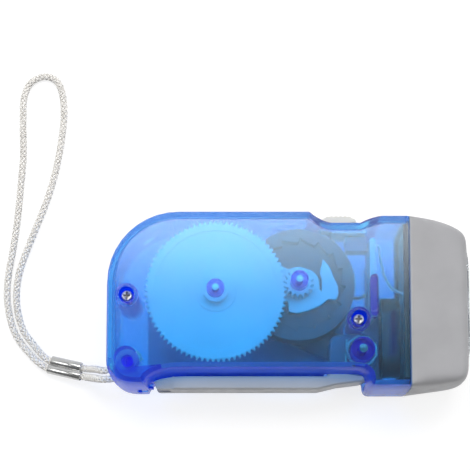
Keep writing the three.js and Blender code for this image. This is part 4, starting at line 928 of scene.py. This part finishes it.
wear_knob(finished("switch_knob", "switch_knob", knob_white))
# The lock slide takes the recess's painted shade
finished("lock_slide", "lock_slide", recess_shade_blue, bevel=0.15)

# A screw's cross recess: its depths below the head's top, and its reach from the axis
cross_top = 0.1 * MM
cross_bottom = 1.5 * MM
cross_reach = 1.1 * MM


def finish_screw(node):
    """A zinc-plated screw, with its cross recess painted darker than its head, as painted shade."""
    head_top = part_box(node)[1][2]
    axis = middle(node)

    def screw_finish(face):
        sunk = head_top - cross_bottom < face.center.z < head_top - cross_top
        near = (from_above(face) - axis).length < cross_reach
        return cross_recess_shade if sunk and near else steel

    screw = finished(node, "casing", steel, bevel=0.06, corner=wide_corner)
    finish_faces(screw, [steel, cross_recess_shade], screw_finish)


finish_screw("screw_rear")
finish_screw("screw_front")

# The ferrule's barrels. A face that leans more than end_face along its barrel is an end.
barrel_radius = strap_diameter / 2 + ferrule_wall
barrel_sides = 40
mouth_depth = 0.5
sleeve_ease = 0.12 * MM
end_face = 0.9


def double_sleeve():
    """The ferrule: a crimped sleeve of two barrels side by side, one round each strand of the strap."""
    turn = ferrule_along.to_track_quat("Z", "Y").to_matrix().to_4x4()
    barrels = []
    for side in (-1, 1):
        bpy.ops.object.select_all(action="DESELECT")
        bpy.ops.mesh.primitive_cylinder_add(
            vertices=barrel_sides, radius=barrel_radius * MM, depth=ferrule_length * MM,
        )
        barrel = bpy.context.object
        only(barrel)
        for face in barrel.data.polygons:
            face.select = abs(face.normal.z) > end_face
        bpy.ops.object.mode_set(mode="EDIT")
        bpy.ops.mesh.select_mode(type="FACE")
        bpy.ops.mesh.inset(thickness=ferrule_wall * MM)
        bpy.ops.object.mode_set(mode="OBJECT")
        # The two discs inside the inset rings sink in, as the mouths round the strand
        for face in barrel.data.polygons:
            face.select = abs(face.normal.z) > end_face and len(face.vertices) > 4
        bpy.ops.object.mode_set(mode="EDIT")
        bpy.ops.transform.resize(value=(1, 1, 1 - 2 * mouth_depth / ferrule_length))
        bpy.ops.object.mode_set(mode="OBJECT")
        place = ferrule_middle + ferrule_across * side * strand_spacing / 2
        barrel.data.transform(Matrix.Translation(place * MM) @ turn)
        barrels.append(barrel)
    for barrel in barrels:
        barrel.select_set(True)
    bpy.ops.object.join()
    made = bpy.context.object
    made.name = "strap_ferrule_finished"
    shape_with(
        made, "BEVEL", width=sleeve_ease, segments=ease_steps, limit_method="ANGLE",
        angle_limit=math.radians(wide_corner),
    )
    bpy.ops.object.shade_smooth_by_angle(angle=math.radians(wide_corner))
    made.data.materials.append(ferrule_chrome)
    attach(made, "casing")
    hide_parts("strap_ferrule")


double_sleeve()
finished("battery_pack", "casing", battery_wrap, bevel=0.4)

# The nodes that keep their shape
for node, finish in {
    "lever_pin": pin_steel, "drive_shaft": steel, "rotor_shaft": steel, "lever_spring": steel,
    "stator_plate_far": steel, "stator_plate_near": steel, "ring_magnet": magnet_ferrite,
    "coil_bobbin": white_plastic, "stator_coil": copper, "coil_lead": copper, "lamp_lead": lead_white,
    "slide_switch": switch_body, "gear_tray": tray_shade_grey, "circuit_board": board_white,
    "led_board": board_green, "reflector": mirror_coating, "front_lens": lens_clear,
    "led_lower": lamp_clear, "led_middle": lamp_clear, "led_upper": lamp_clear,
}.items():
    dressed(node, finish)

# Table, light and air
table_side = 6
bpy.ops.object.select_all(action="DESELECT")
bpy.ops.mesh.primitive_plane_add(size=table_side, location=(0, 0, 0))
table = bpy.context.object
table.name = "table"


def white_table():
    """Matt white card, which glows white where it is seen directly, mirrored or through the casing."""
    made, tree = new_material("matt white card")
    path = add_node(tree, "ShaderNodeLightPath").outputs
    seen = path["Is Camera Ray"]
    for other in ("Is Glossy Ray", "Is Transmission Ray"):
        seen = add_node(tree, "ShaderNodeMath", {
            0: seen, 1: path[other],
        }, operation="MAXIMUM").outputs["Value"]
    card = add_node(tree, "ShaderNodeBsdfDiffuse", {"Color": grey(0.8)}).outputs["BSDF"]
    ground = add_node(tree, "ShaderNodeBsdfDiffuse", {"Color": grey(0.3)}).outputs["BSDF"]
    glow = add_node(tree, "ShaderNodeEmission", {"Color": grey(1), "Strength": 0.78}).outputs["Emission"]
    lit = add_node(tree, "ShaderNodeAddShader", {0: ground, 1: glow}).outputs["Shader"]
    both = add_node(tree, "ShaderNodeMixShader", {0: seen, 1: card, 2: lit}).outputs["Shader"]
    add_node(tree, "ShaderNodeOutputMaterial", {"Surface": both})
    return made


table.data.materials.append(white_table())


def studio_air():
    """A white room, dark on the lever's side and right above, so that the key alone gives the gleam."""
    air = bpy.data.worlds.new("studio air")
    air.use_nodes = True
    tree = air.node_tree
    tree.nodes.clear()
    seen = add_node(tree, "ShaderNodeLightPath").outputs["Is Camera Ray"]
    heading = add_node(tree, "ShaderNodeTexCoord").outputs["Generated"]
    parts = add_node(tree, "ShaderNodeSeparateXYZ", {"Vector": heading}).outputs
    sides = add_node(tree, "ShaderNodeMapRange", {
        "Value": parts["Y"], "From Min": -0.5, "From Max": 0.1, "To Min": 0.04, "To Max": 0.85,
    }).outputs["Result"]
    above = add_node(tree, "ShaderNodeMapRange", {
        "Value": parts["Z"], "From Min": 0.6, "From Max": 0.95, "To Min": 1.0, "To Max": 0.03,
    }).outputs["Result"]
    room = add_node(tree, "ShaderNodeMath", {0: sides, 1: above}, operation="MULTIPLY").outputs["Value"]
    # Sockets 2 and 3 are the mix's two numbers; the camera sees the air plain white
    strength = add_node(tree, "ShaderNodeMix", {0: seen, 2: room, 3: 1.0}).outputs[0]
    light = add_node(tree, "ShaderNodeBackground", {"Color": grey(1), "Strength": strength})
    add_node(tree, "ShaderNodeOutputWorld", {"Surface": light.outputs["Background"]})
    return air


bpy.context.scene.world = studio_air()

lamp_aim = Vector((0, 0, 0.02))


def soft_lamp(name, place, size, power):
    """A softbox, width by height, that faces the flashlight."""
    made = bpy.data.lights.new(name, "AREA")
    made.shape = "RECTANGLE"
    made.size, made.size_y = size
    made.energy = power
    lamp = bpy.data.objects.new(name, made)
    lamp.location = place
    lamp.rotation_euler = (lamp_aim - Vector(place)).to_track_quat("-Z", "Y").to_euler()
    bpy.context.scene.collection.objects.link(lamp)


# The key's lower edge is mirrored half way down the gear, where its gleam on the casing ends. The
# side lamps reach the lever along its recess, without passing through the casing.
soft_lamp("key", (0, 0.398, 1.196), (0.8, 0.4), 8.2)
soft_lamp("fill", (0, -0.4, 1.16), (0.5, 0.4), 0.7)
soft_lamp("left", (-0.8, -0.05, 0.9), (0.4, 0.4), 2.5)
soft_lamp("right", (0.8, -0.05, 0.9), (0.4, 0.4), 2.3)

bpy.context.scene.view_settings.view_transform = "Standard"
